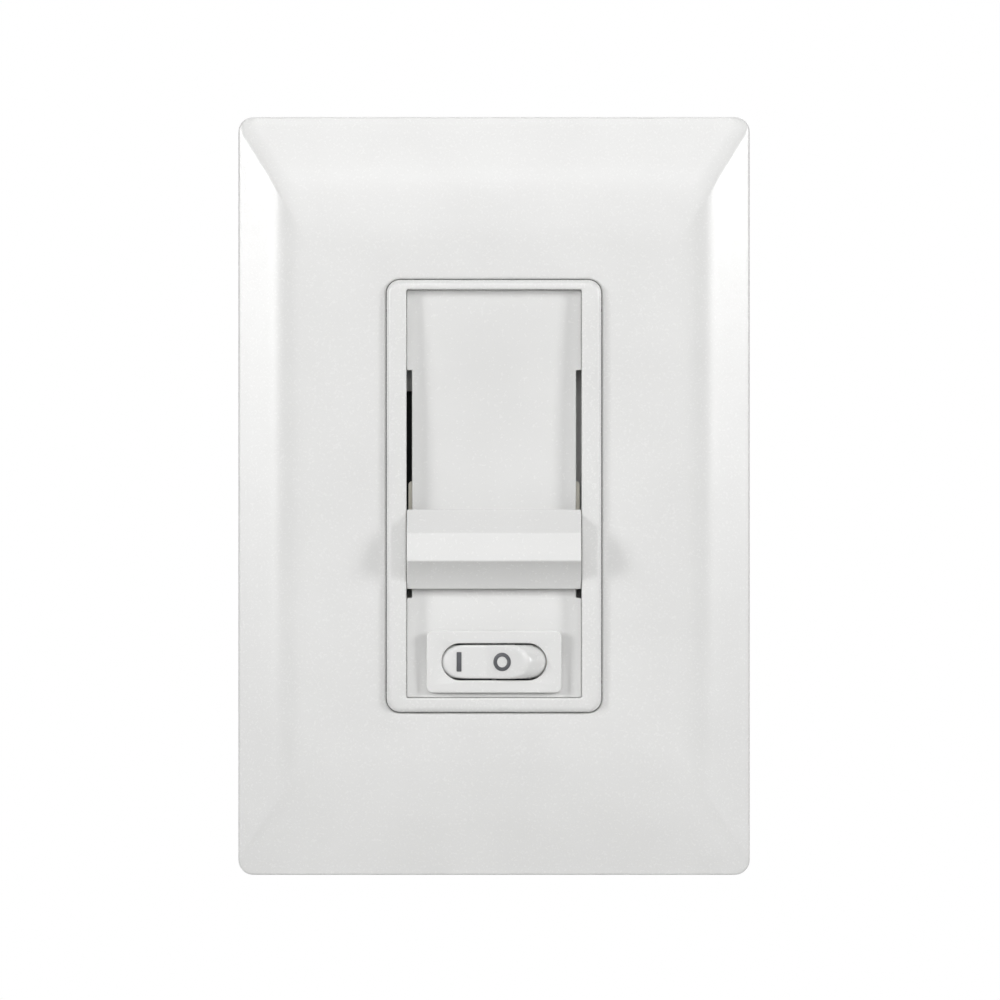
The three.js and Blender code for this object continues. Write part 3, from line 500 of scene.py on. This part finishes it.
class DIMMER_OT_stage(bpy.types.Operator):
    """Sets the camera, the studio lights and the pale floor"""
    bl_idname = "dimmer.stage"
    bl_label = "Camera, Lights and Floor"

    def execute(self, context):
        scene = context.scene
        settings = scene.dimmer_stage
        scene.view_settings.view_transform = "Standard"
        scene.view_settings.look = "None"

        camera_data = bpy.data.cameras.new("camera")
        camera_data.sensor_width = 36.0
        # the view's width at the front of the plate, and how far its middle is off the plate's
        view_width = 154.08 * MM
        aside, below = 0.92 * MM, 0.62 * MM
        reach = settings.distance + COVER.front * MM
        camera_data.lens = camera_data.sensor_width * reach / view_width
        camera_data.clip_end = 20.0
        camera = new_piece("camera", camera_data)
        camera.location = (aside, -settings.distance, -below)
        camera.rotation_euler = (math.pi / 2, 0, 0)
        scene.camera = camera

        def softbox(name, azimuth, elevation, distance, width, height, power):
            """An area light that faces the plate, azimuth measured from the front to the right."""
            light_data = bpy.data.lights.new(name, "AREA")
            light_data.shape = "RECTANGLE"
            light_data.size = width
            light_data.size_y = height
            light_data.energy = power
            light = new_piece(name, light_data)
            across, up = math.radians(azimuth), math.radians(elevation)
            light.location = (
                distance * math.sin(across) * math.cos(up),
                -distance * math.cos(across) * math.cos(up),
                distance * math.sin(up),
            )
            light.rotation_euler = (-light.location).to_track_quat("-Z", "Y").to_euler()
            light.visible_camera = False

        softbox("key_light", 0, 20, 1.5, 1.8, 1.0, settings.key)
        softbox("overhead_light", 0, 70, 2.2, 2.5, 2.5, settings.overhead)
        softbox("top_light", 0, 40, 1.3, 0.5, 0.25, settings.top)
        softbox("left_light", -58, 13, 1.3, 0.3, 0.5, settings.sides)
        softbox("right_light", 58, 13, 1.3, 0.3, 0.5, settings.sides)
        softbox("back_light", 180, 60, 2.2, 2.5, 2.5, settings.back)

        world = bpy.data.worlds.new("studio")
        scene.world = world
        world.use_nodes = True
        tree = world.node_tree
        tree.nodes.clear()
        backdrop = add_node(tree, "ShaderNodeBackground", {"Color": (1, 1, 1, 1), "Strength": 1.0})
        ambient = add_node(tree, "ShaderNodeBackground", {"Color": (1, 1, 1, 1), "Strength": settings.sky})
        seen = add_node(tree, "ShaderNodeLightPath").outputs["Is Camera Ray"]
        either = add_node(tree, "ShaderNodeMixShader", {
            0: seen, 1: ambient.outputs["Background"], 2: backdrop.outputs["Background"],
        })
        add_node(tree, "ShaderNodeOutputWorld", {"Surface": either.outputs["Shader"]})

        radius, thickness, drop = 2900, 10, 0.7
        disc = [(0, 0), (radius, 0), (radius, thickness), (0, thickness)]
        floor = turned("floor", disc, 96)
        floor.data.transform(Matrix.Translation((0, 0, -drop)) @ Matrix.Rotation(-math.pi / 2, 4, "X"))
        floor.data.materials.append(surface("pale_paint", "e9e9e8", "eeeeed", 0.7, 1.5, 0.01, drift=200.0))
        return {"FINISHED"}


class DIMMER_OT_finishes(bpy.types.Operator):
    """Makes the materials and gives every CAD part its own"""
    bl_idname = "dimmer.finishes"
    bl_label = "Finishes"

    def execute(self, context):
        make_finishes(context.scene.dimmer_colours)
        for part in frame["record"]["subparts"]:
            node = frame["nodes"][part["node"]]
            node.data.materials.clear()
            node.data.materials.append(finish(CAD_FINISHES[part["material_slot"]]))
        return {"FINISHED"}


# ---- Wall plate ------------------------------------------------------------------------

def pillow_rise(t, height, straight):
    """How far the pillow has risen at t, from 0 at the rim to 1 at the flat field."""
    slope = 2 * height / (1 + straight)
    past = max(0.0, t - straight)
    return slope * (t - past * past / (2 * (1 - straight)))


class DIMMER_OT_cover(bpy.types.Operator):
    """Makes the screwless wall plate, a shallow pillow with an opening"""
    bl_idname = "dimmer.cover"
    bl_label = "Wall Plate Cover"

    def execute(self, context):
        sizes = context.scene.dimmer_sizes
        corner, wall = 2.3, 1.5
        height = -COVER.front - sizes.rim

        def pillow(t, inset):
            width = COVER.width - 2 * inset - 2 * t * (sizes.side_margin - inset)
            tall = COVER.height - 2 * inset - 2 * t * (sizes.end_margin - inset)
            y = inset - sizes.rim - pillow_rise(t, height, sizes.straight)
            return ring(width, tall, corner - 0.5 * inset, y)

        rings = [ring(COVER.width, COVER.height, corner, 0)]
        # the rim's arc is sunk by rim_sink, so that it ends on the slope of the pillow
        rim_radius, rim_sink, rim_steps = 0.5, 0.293, 5
        for step in range(rim_steps + 1):
            angle = math.radians(60) * step / rim_steps
            inset = rim_radius * (1 - math.cos(angle))
            y = rim_sink - sizes.rim - rim_radius * math.sin(angle)
            rings.append(ring(COVER.width - 2 * inset, COVER.height - 2 * inset, corner, y))
        steps = 40
        rings += [pillow(step / steps, 0) for step in range(2, steps + 1)]
        opening = (OPENING["width"], OPENING["height"], OPENING["corner"])
        soft_steps = 5
        for step in range(soft_steps + 1):
            angle = math.pi / 2 * step / soft_steps
            grow = sizes.soft_edge * (1 - math.sin(angle))
            y = COVER.front + sizes.soft_edge * (1 - math.cos(angle))
            rings.append(ring(opening[0] + 2 * grow, opening[1] + 2 * grow, opening[2] + grow, y))
        depth = COVER.front + OPENING["depth"]
        collar = OPENING["collar"]
        outer = (opening[0] + 2 * collar, opening[1] + 2 * collar, opening[2] + collar)
        rings.append(ring(*opening, depth))
        rings.append(ring(*outer, depth))
        rings.append(ring(*outer, COVER.front + wall))
        rings += [pillow(step / 12, wall) for step in range(12, -1, -1)]
        rings.append(ring(COVER.width - 2 * wall, COVER.height - 2 * wall, corner - wall / 2, 0))
        cover = loft("wall_plate", rings, False)

        # each hook stands on the back of the cover, with a barb that grips the sub-plate
        hooks = []
        hook_inner = SUBPLATE.top + 0.4
        half, thick, bite = 4, 1.5, 1.1
        root, catch, tip = -3.9, -1.5, -0.8
        for x in (-24, 24):
            for side in (-1, 1):
                z0, z1 = sorted((side * hook_inner, side * (hook_inner + thick)))
                hooks.append(block("hook", x - half, x + half, root, tip, z0, z1))
                z0, z1 = sorted((side * (hook_inner - bite), side * (hook_inner + 1)))
                hooks.append(block("barb", x - half, x + half, catch, tip, z0, z1))
        cover = combine(cover, "UNION", *hooks)
        place(cover, "root", "white_polycarbonate", finish("satin_white_polycarbonate"), "wall_plate_cover")
        return {"FINISHED"}


class DIMMER_OT_subplate(bpy.types.Operator):
    """Makes the plastic sub-plate that the wall plate snaps on"""
    bl_idname = "dimmer.subplate"
    bl_label = "Mounting Sub-plate"

    def execute(self, context):
        front, back = SUBPLATE.front, SUBPLATE.back
        # width, height and corner of each opening
        levelling_slot, window = (3, 10, 1.4), (34, 67.4, 1.5)
        holes = []
        for x in (-28, 28):
            for z in (-38, 38):
                holes.append(outline(*levelling_slot, x, z))
        base = plate("subplate", outline(SUBPLATE.width, SUBPLATE.height, 3), holes, front, back, 0.2)
        tools = [prism("window", outline(*window), front - 1, back + 1, upright)]
        for side in (-1, 1):
            notch = outline(9, 24, 1.5, 0, side * 33)
            tools.append(prism("notch", notch, front - 1, back + 1, upright))
            z = side * PLATE_SCREW_Z
            cone = [circle(radius, 0, z) for radius in (3.07, 3.05, 1.9, 1.9)]
            depths = (front - 1, front, front + 1.15, back + 1)
            rings = [[(px, y, pz) for px, pz in points] for points, y in zip(cone, depths)]
            tools.append(loft("countersink", rings, True))
        base = combine(base, "DIFFERENCE", *tools)
        place(base, "root", "white_polycarbonate", finish("satin_white_polycarbonate"), "mounting_subplate")
        return {"FINISHED"}


# ---- Strap -----------------------------------------------------------------------------

class DIMMER_OT_strap(bpy.types.Operator):
    """Makes the aluminium strap with its ears and holes"""
    bl_idname = "dimmer.strap"
    bl_label = "Mounting Strap"

    def execute(self, context):
        front, back = STRAP.front, STRAP.back
        body_height, ear_width = 72, 33
        strap = prism("strap", outline(STRAP.width, body_height, 3), front, back, upright)
        ears = prism("ears", outline(ear_width, STRAP.height, 2.5), front, back, upright)
        strap = combine(strap, "UNION", ears)
        lever_width = LEVER_SLOT["right"] - LEVER_SLOT["left"]
        lever_height = LEVER_SLOT["top"] - LEVER_SLOT["bottom"]
        cradle_window = (24.1, 10.7)
        shapes = [
            outline(lever_width, lever_height, 0.4, LEVER_SLOT["left"] + lever_width / 2,
                    LEVER_SLOT["bottom"] + lever_height / 2),
            outline(*cradle_window, 0.6, 0, ROCKER_PIVOT.z / MM),
            circle(CLEARANCE["housing"], TRIAC_SCREW.x, TRIAC_SCREW.z),
            circle(CLEARANCE["ground"], GROUND.x, GROUND.z),
        ]
        for side in (-1, 1):
            shapes.append(outline(7, 4.2, 2, 0, side * BOX_SCREW.z))
            shapes.append(circle(CLEARANCE["plate"], 0, side * PLATE_SCREW_Z))
            for x in (-HOUSING_SCREW.x, HOUSING_SCREW.x):
                shapes.append(circle(CLEARANCE["housing"], x, side * HOUSING_SCREW.z))
        tools = [prism("hole", points, front - 1, back + 1, upright) for points in shapes]
        strap = soften(combine(strap, "DIFFERENCE", *tools), 0.15)
        place(strap, "root", "aluminium_sheet", finish("rolled_aluminium_sheet"), "mounting_strap")
        return {"FINISHED"}


# ---- Face ------------------------------------------------------------------------------

class DIMMER_OT_bezel(bpy.types.Operator):
    """Makes the frame round the face, with its rounded rails and the ledges for the panel"""
    bl_idname = "dimmer.bezel"
    bl_label = "Face Bezel"

    def execute(self, context):
        corner, edge, inner_edge, recess_corner = 2.1, 0.9, 0.3, 0.3
        recess_height = RECESS["top"] - RECESS["bottom"]
        # the real gap to the wall plate is a tenth of a millimetre, closer than the CAD part leaves
        width, height = OPENING["width"] - 0.2, OPENING["height"] - 0.2
        rings = [ring(width, height, corner, BEZEL.back)]
        steps = 6
        for step in range(steps + 1):
            angle = math.pi / 2 * step / steps
            inset = edge * (1 - math.cos(angle))
            y = BEZEL.front + edge * (1 - math.sin(angle))
            rings.append(ring(width - 2 * inset, height - 2 * inset, corner - inset, y))
        for step in range(steps + 1):
            angle = math.pi / 2 * step / steps
            grow = inner_edge * (1 - math.sin(angle))
            y = BEZEL.front + inner_edge * (1 - math.cos(angle))
            size = (RECESS["width"] + 2 * grow, recess_height + 2 * grow, recess_corner + grow)
            rings.append(ring(*size, y, 0, RECESS_Z))
        rings.append(ring(RECESS["width"], recess_height, recess_corner, BEZEL.back, 0, RECESS_Z))
        bezel = loft("bezel", rings, False)
        half = RECESS["width"] / 2
        # one ledge across the top and one in each lower corner, sunk a little into the frame
        behind, sunk = PANEL.back + 0.3, 0.4
        top_reach, top_edge, low_inner, low_edge = 12, 29.3, 12.1, -27
        top = RECESS["top"] + sunk
        ledges = [block("ledge", -top_reach, top_reach, behind, BEZEL.back, top_edge, top)]
        for side in (-1, 1):
            x0, x1 = sorted((side * low_inner, side * (half + sunk)))
            ledges.append(block("ledge", x0, x1, behind, BEZEL.back, RECESS["bottom"] - sunk, low_edge))
        bezel = combine(bezel, "UNION", *ledges)
        place(bezel, "root", "white_polycarbonate", finish("satin_white_polycarbonate"), "face_bezel")
        return {"FINISHED"}


class DIMMER_OT_panel(bpy.types.Operator):
    """Makes the slightly dished face panel with its two leg slots"""
    bl_idname = "dimmer.panel"
    bl_label = "Face Panel"

    def execute(self, context):
        seam, thickness, slices = 0.05, 1.1, 40
        half = RECESS["width"] / 2 - seam
        top, bottom = RECESS["top"] - seam, RECESS["bottom"] + seam
        inner, slot_top, slot_bottom = LEG_SLOT["inner"], LEG_SLOT["top"], LEG_SLOT["bottom"]
        right = [
            (half, bottom, 0.3), (half, slot_bottom, 0.15), (inner, slot_bottom, 0.2),
            (inner, slot_top, 0.2), (half, slot_top, 0.15), (half, top, 0.3),
        ]
        left = [(-x, z, radius) for x, z, radius in reversed(right)]
        pivot_z = ROCKER_PIVOT.z / MM
        hole = outline(19.2, 5.9, 2.9, 0, pivot_z)
        panel = plate("panel", rounded(right + left), [hole], PANEL.front, PANEL.front + thickness, 0.12)
        depth = context.scene.dimmer_sizes.hollow
        mesh = bmesh.new()
        mesh.from_mesh(panel.data)
        for step in range(1, slices):
            z = (bottom + (top - bottom) * step / slices) * MM
            parts = mesh.verts[:] + mesh.edges[:] + mesh.faces[:]
            bmesh.ops.bisect_plane(mesh, geom=parts, plane_co=(0, 0, z), plane_no=(0, 0, 1), dist=1e-7)
        middle, reach = (top + bottom) / 2 * MM, (top - bottom) / 2 * MM
        for vert in mesh.verts:
            vert.co.y += depth * MM * (1 - ((vert.co.z - middle) / reach) ** 2)
        mesh.to_mesh(panel.data)
        mesh.free()
        place(panel, "root", "white_polycarbonate", finish("polished_white_polycarbonate"), "face_panel")
        return {"FINISHED"}


class DIMMER_OT_escutcheon(bpy.types.Operator):
    """Makes the raised pad with the pill-shaped mouth of the rocker"""
    bl_idname = "dimmer.escutcheon"
    bl_label = "Rocker Escutcheon"

    def execute(self, context):
        z = ROCKER_PIVOT.z / MM
        back = -7.05
        mouth = outline(PILL["width"], PILL["height"], PILL["height"] / 2 - 0.01, 0, z, 16)
        pad = plate("escutcheon", outline(PAD.width, PAD.height, 1.0, 0, z), [mouth], PAD.front, back, 0.22)
        flare = loft("flare", [
            ring(17.6, 5.9, 2.9, back + 0.1, 0, z),
            ring(PILL["width"] - 0.1, 5.6, 2.75, PAD.front + 0.25, 0, z),
        ], True)
        pad = combine(pad, "DIFFERENCE", flare)
        pegs = []
        for x in (-PEG["x"], PEG["x"]):
            for rise in (-PEG["rise"], PEG["rise"]):
                pegs.append(bar("peg", PEG["radius"], back - 0.3, PAD.back, x, z + rise, 20))
        pad = combine(pad, "UNION", *pegs)
        place(
            pad, "root", "white_polycarbonate", finish("polished_white_polycarbonate"), "rocker_escutcheon")
        return {"FINISHED"}


# ---- Slider ----------------------------------------------------------------------------

class DIMMER_OT_knob(bpy.types.Operator):
    """Makes the slider knob, a ridged bar with a scooped underside and two legs"""
    bl_idname = "dimmer.knob"
    bl_label = "Slider Knob"

    def execute(self, context):
        # a ramp out to the ridge, a band down to the lip, and a hollow curve back to the foot
        top, back = KNOB.top, KNOB_DEPTH["back"]
        ridge, lip, scoop, foot = (
            Vector((KNOB_DEPTH[key], top - KNOB_DROP[key])) for key in ("ridge", "lip", "scoop", "foot"))
        corners = [(back, top, 0), (KNOB_DEPTH["top"], top, 0.3), (*ridge, 0.5), (*lip, 0.3)]
        steps = 10
        for step in range(1, steps):
            t = step / steps
            point = lip * (1 - t) ** 2 + scoop * 2 * t * (1 - t) + foot * t ** 2
            corners.append((*point, 0))
        corners += [(*foot, 0.2), (back, foot.y, 0)]
        half = 13.42
        knob = prism("knob", rounded(corners), -half, half, lambda u, v, w: (w, u, v))
        knob = soften(knob, 0.3, 4)
        legs = []
        for side in (-1, 1):
            for inner, front in ((LEG["inner"], back), (LEG["foot_inner"], KNOB.back)):
                x0, x1 = sorted((side * inner, side * LEG["outer"]))
                legs.append(block("leg", x0, x1, front - 0.5, KNOB.back, LEG["bottom"], LEG["top"]))
        knob = combine(knob, "UNION", *legs)
        place(knob, "slider", "white_polycarbonate", finish("polished_white_polycarbonate"), "slider_knob")
        return {"FINISHED"}


# ---- Rocker ----------------------------------------------------------------------------

def soft_less(a, b, blend):
    """The smaller of two values, with a rounded change from one to the other."""
    near = max(blend - abs(a - b), 0.0) / blend
    return min(a, b) - near * near * blend / 4


class DIMMER_OT_rocker(bpy.types.Operator):
    """Makes the rocker button and its on and off marks"""
    bl_idname = "dimmer.rocker"
    bl_label = "Rocker Button"

    def execute(self, context):
        # two flat facets that meet in a shallow valley, cut off by a wheel with a round rim
        tilt = ROCKER_SWING / 2
        slope = math.tan(tilt)
        half, reach, corner_x, corner_depth = 2.6, 10.08, 6.514, 7.69
        valley = corner_depth - corner_x * slope
        edge, edge_blend, valley_blend = 0.35, 0.7, 0.05
        underside = [(6.5, -4.9), (2.4, -4.4), (2.4, 4.8), (-2.4, 4.8), (-2.4, -4.4), (-6.5, -4.9)]
        rows, steps = 36, 110
        widest = math.radians(63)
        rings = []
        for row in range(rows + 1):
            z = half * math.sin((row / rows - 0.5) * math.pi)
            rim = reach - half + math.sqrt(max(half * half - z * z, 0.0))
            past = max(0.0, abs(z) - (half - edge))
            drop = edge - math.sqrt(max(edge * edge - past * past, 0.0))
            points = []
            for step in range(steps + 1):
                angle = widest * (2 * step / steps - 1)
                side = math.sqrt(math.sin(angle) ** 2 + valley_blend ** 2) - valley_blend
                facet = valley / (math.cos(angle) - slope * side) - drop
                radius = soft_less(facet, rim, edge_blend)
                points.append((radius * math.sin(angle), -radius * math.cos(angle), z))
            points += [(x, y, z) for x, y in underside]
            rings.append(points)
        button = loft("rocker", rings, True)
        bore = bar("bore", 1.5, 1.5, 6, 0, 0, 24)
        axle = circle(1.05, 0, 0, 24)
        axle_hole = prism("axle_hole", axle, -5, 5, lambda u, v, w: (u, v, w))
        button = combine(button, "DIFFERENCE", bore, axle_hole)
        button.data.transform(Matrix.Translation(ROCKER_PIVOT) @ Matrix.Rotation(-tilt, 4, "Z"))
        place(
            button, "rocker", "white_polycarbonate", finish("polished_white_polycarbonate"), "rocker_button")

        z = ROCKER_PIVOT.z / MM
        facet_y, valley_x, on_x, off_reach = -7.80, -1.14, -5.39, 1.23
        mark_depths = (facet_y - 0.03, facet_y + 0.1)
        on_mark = plate("rocker_mark_on", outline(0.75, 3.0, 0.1, on_x, z), [], *mark_depths, 0.02)
        off_x = valley_x + (off_reach - valley_x) / math.cos(2 * tilt)
        off_ring = (circle(1.42, off_x, z), [circle(0.84, off_x, z)])
        off_mark = plate("rocker_mark_off", *off_ring, *mark_depths, 0.02)
        turn(off_mark, (valley_x * MM, facet_y * MM, z * MM), -2 * tilt, "Z")
        for mark in (on_mark, off_mark):
            place(mark, "rocker", "black_nylon", finish("grey_moulded_mark"))
        return {"FINISHED"}


# ---- Screws and washers ----------------------------------------------------------------

def turned(name, profile, steps=48):
    """A solid of revolution about Y, from (radius, y) points that start and end on the axis."""
    mesh = bmesh.new()
    ends = (mesh.verts.new((0, profile[0][1], 0)), mesh.verts.new((0, profile[-1][1], 0)))
    rows = []
    for radius, y in profile[1:-1]:
        rows.append([mesh.verts.new((x, y, z)) for x, z in circle(radius, 0, 0, steps)])
    for i in range(steps):
        j = (i + 1) % steps
        mesh.faces.new((ends[0], rows[0][i], rows[0][j]))
        mesh.faces.new((ends[1], rows[-1][j], rows[-1][i]))
        for first, second in zip(rows, rows[1:]):
            mesh.faces.new((first[i], second[i], second[j], first[j]))
    return from_bmesh(name, mesh)


def screw(name, head, head_depth, shank, length, recess, flat=False, thread_from=None, pitch=0.8):
    """A screw along Y with its head at y = 0, a cut thread, and a slot or a cross in its head."""
    if flat:
        crown = [(head - 0.1, 0), (head, 0.12), (shank, head_depth)]
    else:
        widest = 1.2
        dome = [(head * math.sin(a), 0.45 * head_depth * (1 - math.cos(a)) / (1 - math.cos(widest)))
                for a in (0.35, 0.6, 0.8, 0.95, 1.08, widest)]
        crown = [(radius / math.sin(widest), y) for radius, y in dome]
        crown += [(head, head_depth - 0.15), (head - 0.15, head_depth), (shank, head_depth)]
    steps = 40
    start = head_depth + 0.4 if thread_from is None else thread_from
    end = length - 0.4
    rings = [[(x, y, z) for x, z in circle(radius, 0, 0, steps)] for radius, y in crown]
    per_turn = 6
    count = max(1, int((end - start) / pitch * per_turn))
    depth = 0.2
    for row in range(count + 1):
        y = start + (end - start) * row / count
        points = []
        for i in range(steps):
            angle = 2 * math.pi * i / steps
            phase = ((y - start) / pitch + i / steps) % 1.0
            crest = abs(2 * phase - 1)
            fade = min(1.0, (y - start) / pitch, (end - y) / pitch + 0.2)
            radius = shank - depth * crest * fade
            points.append((radius * math.cos(angle), y, radius * math.sin(angle)))
        rings.append(points)
    tip = shank - depth - 0.35
    rings.append([(x, length, z) for x, z in circle(tip, 0, 0, steps)])
    body = loft(name, rings, True)
    half = 0.13 * head
    cut_depth = 0.55 * head_depth
    if recess == "slot":
        tools = [block("slot", -head - 1, head + 1, -1, cut_depth, -half, half)]
        return combine(body, "DIFFERENCE", *tools)
    arm = 0.58 * head
    tools = [
        block("cross", -arm, arm, -1, cut_depth, -half, half),
        block("cross", -half, half, -1, cut_depth, -arm, arm),
    ]
    return combine(body, "DIFFERENCE", *tools)


class DIMMER_OT_screws(bpy.types.Operator):
    """Makes every screw that shows"""
    bl_idname = "dimmer.screws"
    bl_label = "Screws"

    def execute(self, context):
        def put(piece, where, angle, slot, finish_name, node):
            there = Matrix.Translation([value * MM for value in where])
            piece.data.transform(there @ Matrix.Rotation(angle, 4, "Z"))
            place(piece, "root", slot, finish(finish_name), node)

        zinc = ("zinc_plated_steel", "zinc_plated_steel")
        for end in ("top", "bottom"):
            span = Span(f"subplate_screw_{end}")
            piece = screw(f"plate_screw_{end}", *SCREWS["plate"], span.back - span.front, "slot", flat=True)
            put(piece, (span.x, span.front, span.z), 0, *zinc, f"subplate_screw_{end}")
            span = Span(f"box_screw_{end}")
            length = span.back - span.front
            piece = screw(f"box_screw_{end}_cut", *SCREWS["box"], length, "slot", thread_from=3.6)
            put(piece, (span.x, span.front, span.z), 0, *zinc, f"box_screw_{end}")
        for number in range(1, 5):
            node = f"housing_screw_{number}"
            span = Span(node)
            piece = screw(
                f"{node}_cut", *SCREWS["housing"], span.back - span.front, "cross", thread_from=20)
            put(piece, (span.x, span.back, span.z), math.pi, *zinc, node)
        piece = screw("ground_screw_cut", *SCREWS["ground"], GROUND.back - GROUND.front, "slot")
        green = ("green_steel", "green_dyed_zinc_plate")
        put(piece, (GROUND.x, GROUND.back, GROUND.z), math.pi, *green, "ground_screw")
        for name in TERMINAL_NAMES:
            node = f"terminal_screw_{name}"
            span = Span(node)
            side = 1 if span.x > 0 else -1
            piece = screw(f"{node}_cut", *SCREWS["terminal"], span.width, "cross")
            y = (span.front + span.back) / 2
            head_x = span.right if side > 0 else span.left
            put(piece, (head_x, y, span.z), side * math.pi / 2, "brass", "bright_brass", node)
        return {"FINISHED"}


class DIMMER_OT_washers(bpy.types.Operator):
    """Makes the fibre washers and the clamp plates under the screws"""
    bl_idname = "dimmer.washers"
    bl_label = "Washers and Clamp Plates"

    def execute(self, context):
        for end in ("top", "bottom"):
            node = f"captive_washer_{end}"
            span = Span(node)
            washer = plate(
                f"{node}_fibre", circle(span.width / 2, span.x, span.z), [circle(1.8, span.x, span.z)],
                span.front, span.back, 0.08)
            place(washer, "root", "vulcanised_fibre", finish("vulcanised_fibre"), node)
        span = Span("ground_clamp_plate")
        clamp = plate(
            "ground_clamp", outline(span.width, span.height, 0.8, span.x, span.z),
            [circle(CLEARANCE["ground"], span.x, span.z)], span.front, span.back, 0.15)
        place(clamp, "root", "brass", finish("bright_brass"), "ground_clamp_plate")
        for name in TERMINAL_NAMES:
            node = f"terminal_clamp_{name}"
            span = Span(node)
            y = (span.front + span.back) / 2
            # drawn flat in X and Z, then turned to face sideways
            clamp = plate(
                f"{node}_plate", outline(7.6, 7.6, 0.8), [circle(1.8)], -span.width / 2, span.width / 2, 0.15)
            there = Matrix.Translation((span.x * MM, y * MM, span.z * MM))
            clamp.data.transform(there @ Matrix.Rotation(math.pi / 2, 4, "Z"))
            place(clamp, "root", "brass", finish("bright_brass"), node)
        return {"FINISHED"}


# ---- Back housing ----------------------------------------------------------------------

class DIMMER_OT_housing(bpy.types.Operator):
    """Makes the black back housing with its screw bosses and terminal pockets"""
    bl_idname = "dimmer.housing"
    bl_label = "Back Housing"

    def execute(self, context):
        corner, wall, chamfer = 2.5, 1.8, 1.6
        front, back, width, height = HOUSING.front, HOUSING.back, HOUSING.width, HOUSING.height

        shell = loft("housing", [
            ring(width, height, corner, front),
            ring(width, height, corner, back - chamfer),
            ring(width - 2 * chamfer, height - 2 * chamfer, corner - 1, back),
        ], True)
        inside = outline(width - 2 * wall, height - 2 * wall, 1.2)
        shell = combine(shell, "DIFFERENCE", prism("hollow", inside, front - 1, back - wall, upright))
        blocks = []
        tools = [prism("label_recess", outline(26, 20, 1), back - 0.4, back + 1, upright)]
        for x in (-HOUSING_SCREW.x, HOUSING_SCREW.x):
            for z in (-HOUSING_SCREW.z, HOUSING_SCREW.z):
                blocks.append(bar("boss", 3.3, front, back - 1, x, z))
                tools.append(bar("hole", CLEARANCE["housing"], front - 1, back + 1, x, z))
                tools.append(bar("counterbore", 3.05, back - 2.2, back + 1, x, z))
        half, floor, cheek = 4.5, 18.1, 1.4
        for name in TERMINAL_NAMES:
            span = Span(f"terminal_screw_{name}")
            side = 1 if span.x > 0 else -1
            y = (span.front + span.back) / 2
            x0, x1 = sorted((side * (floor - cheek), side * (width / 2 - 1)))
            reach = half + cheek
            blocks.append(block("boss", x0, x1, y - reach, y + reach, span.z - reach, span.z + reach))
            x0, x1 = sorted((side * floor, side * (width / 2 + 1)))
            tools.append(block("pocket", x0, x1, y - half, y + half, span.z - half, span.z + half))
            x0, x1 = sorted((side * (floor - 4), side * (floor + 4)))
            hole = circle(TERMINAL_BORE, y, span.z)
            tools.append(prism("hole", hole, x0, x1, lambda u, v, w: (w, u, v)))
        shell = combine(shell, "UNION", *blocks)
        shell = soften(combine(shell, "DIFFERENCE", *tools), 0.2)
        place(shell, "root", "black_nylon", finish("glass_filled_black_nylon"), "back_housing")
        return {"FINISHED"}


# ---- Panel and main --------------------------------------------------------------------

MAKERS = (
    "stage", "finishes", "cover", "subplate", "strap", "bezel", "panel", "escutcheon", "knob", "rocker",
    "screws", "washers", "housing",
)


class DIMMER_PT_sidebar(bpy.types.Panel):
    """Sizes, colours and the pieces to make"""
    bl_idname = "DIMMER_PT_sidebar"
    bl_label = "Slide Dimmer"
    bl_space_type = "VIEW_3D"
    bl_region_type = "UI"
    bl_category = "Dimmer"

    def draw(self, context):
        for group in (context.scene.dimmer_sizes, context.scene.dimmer_colours, context.scene.dimmer_stage):
            for key in group.__annotations__:
                self.layout.prop(group, key)
        for maker in MAKERS:
            self.layout.operator(f"dimmer.{maker}")


CLASSES = (
    DimmerSizes, DimmerColours, DimmerStage, DIMMER_OT_stage, DIMMER_OT_finishes, DIMMER_OT_cover,
    DIMMER_OT_subplate, DIMMER_OT_strap, DIMMER_OT_bezel, DIMMER_OT_panel, DIMMER_OT_escutcheon,
    DIMMER_OT_knob, DIMMER_OT_rocker, DIMMER_OT_screws, DIMMER_OT_washers, DIMMER_OT_housing,
    DIMMER_PT_sidebar,
)


def register():
    """Adds the classes and their settings to Blender."""
    for item in CLASSES:
        bpy.utils.register_class(item)
    bpy.types.Scene.dimmer_sizes = bpy.props.PointerProperty(type=DimmerSizes)
    bpy.types.Scene.dimmer_colours = bpy.props.PointerProperty(type=DimmerColours)
    bpy.types.Scene.dimmer_stage = bpy.props.PointerProperty(type=DimmerStage)


def unregister():
    """Takes the settings and classes away again."""
    del bpy.types.Scene.dimmer_stage
    del bpy.types.Scene.dimmer_colours
    del bpy.types.Scene.dimmer_sizes
    for item in reversed(CLASSES):
        bpy.utils.unregister_class(item)


def main():
    """Makes the whole dimmer."""
    register()
    for maker in MAKERS:
        getattr(bpy.ops.dimmer, maker)()


if __name__ == "__main__":
    main()
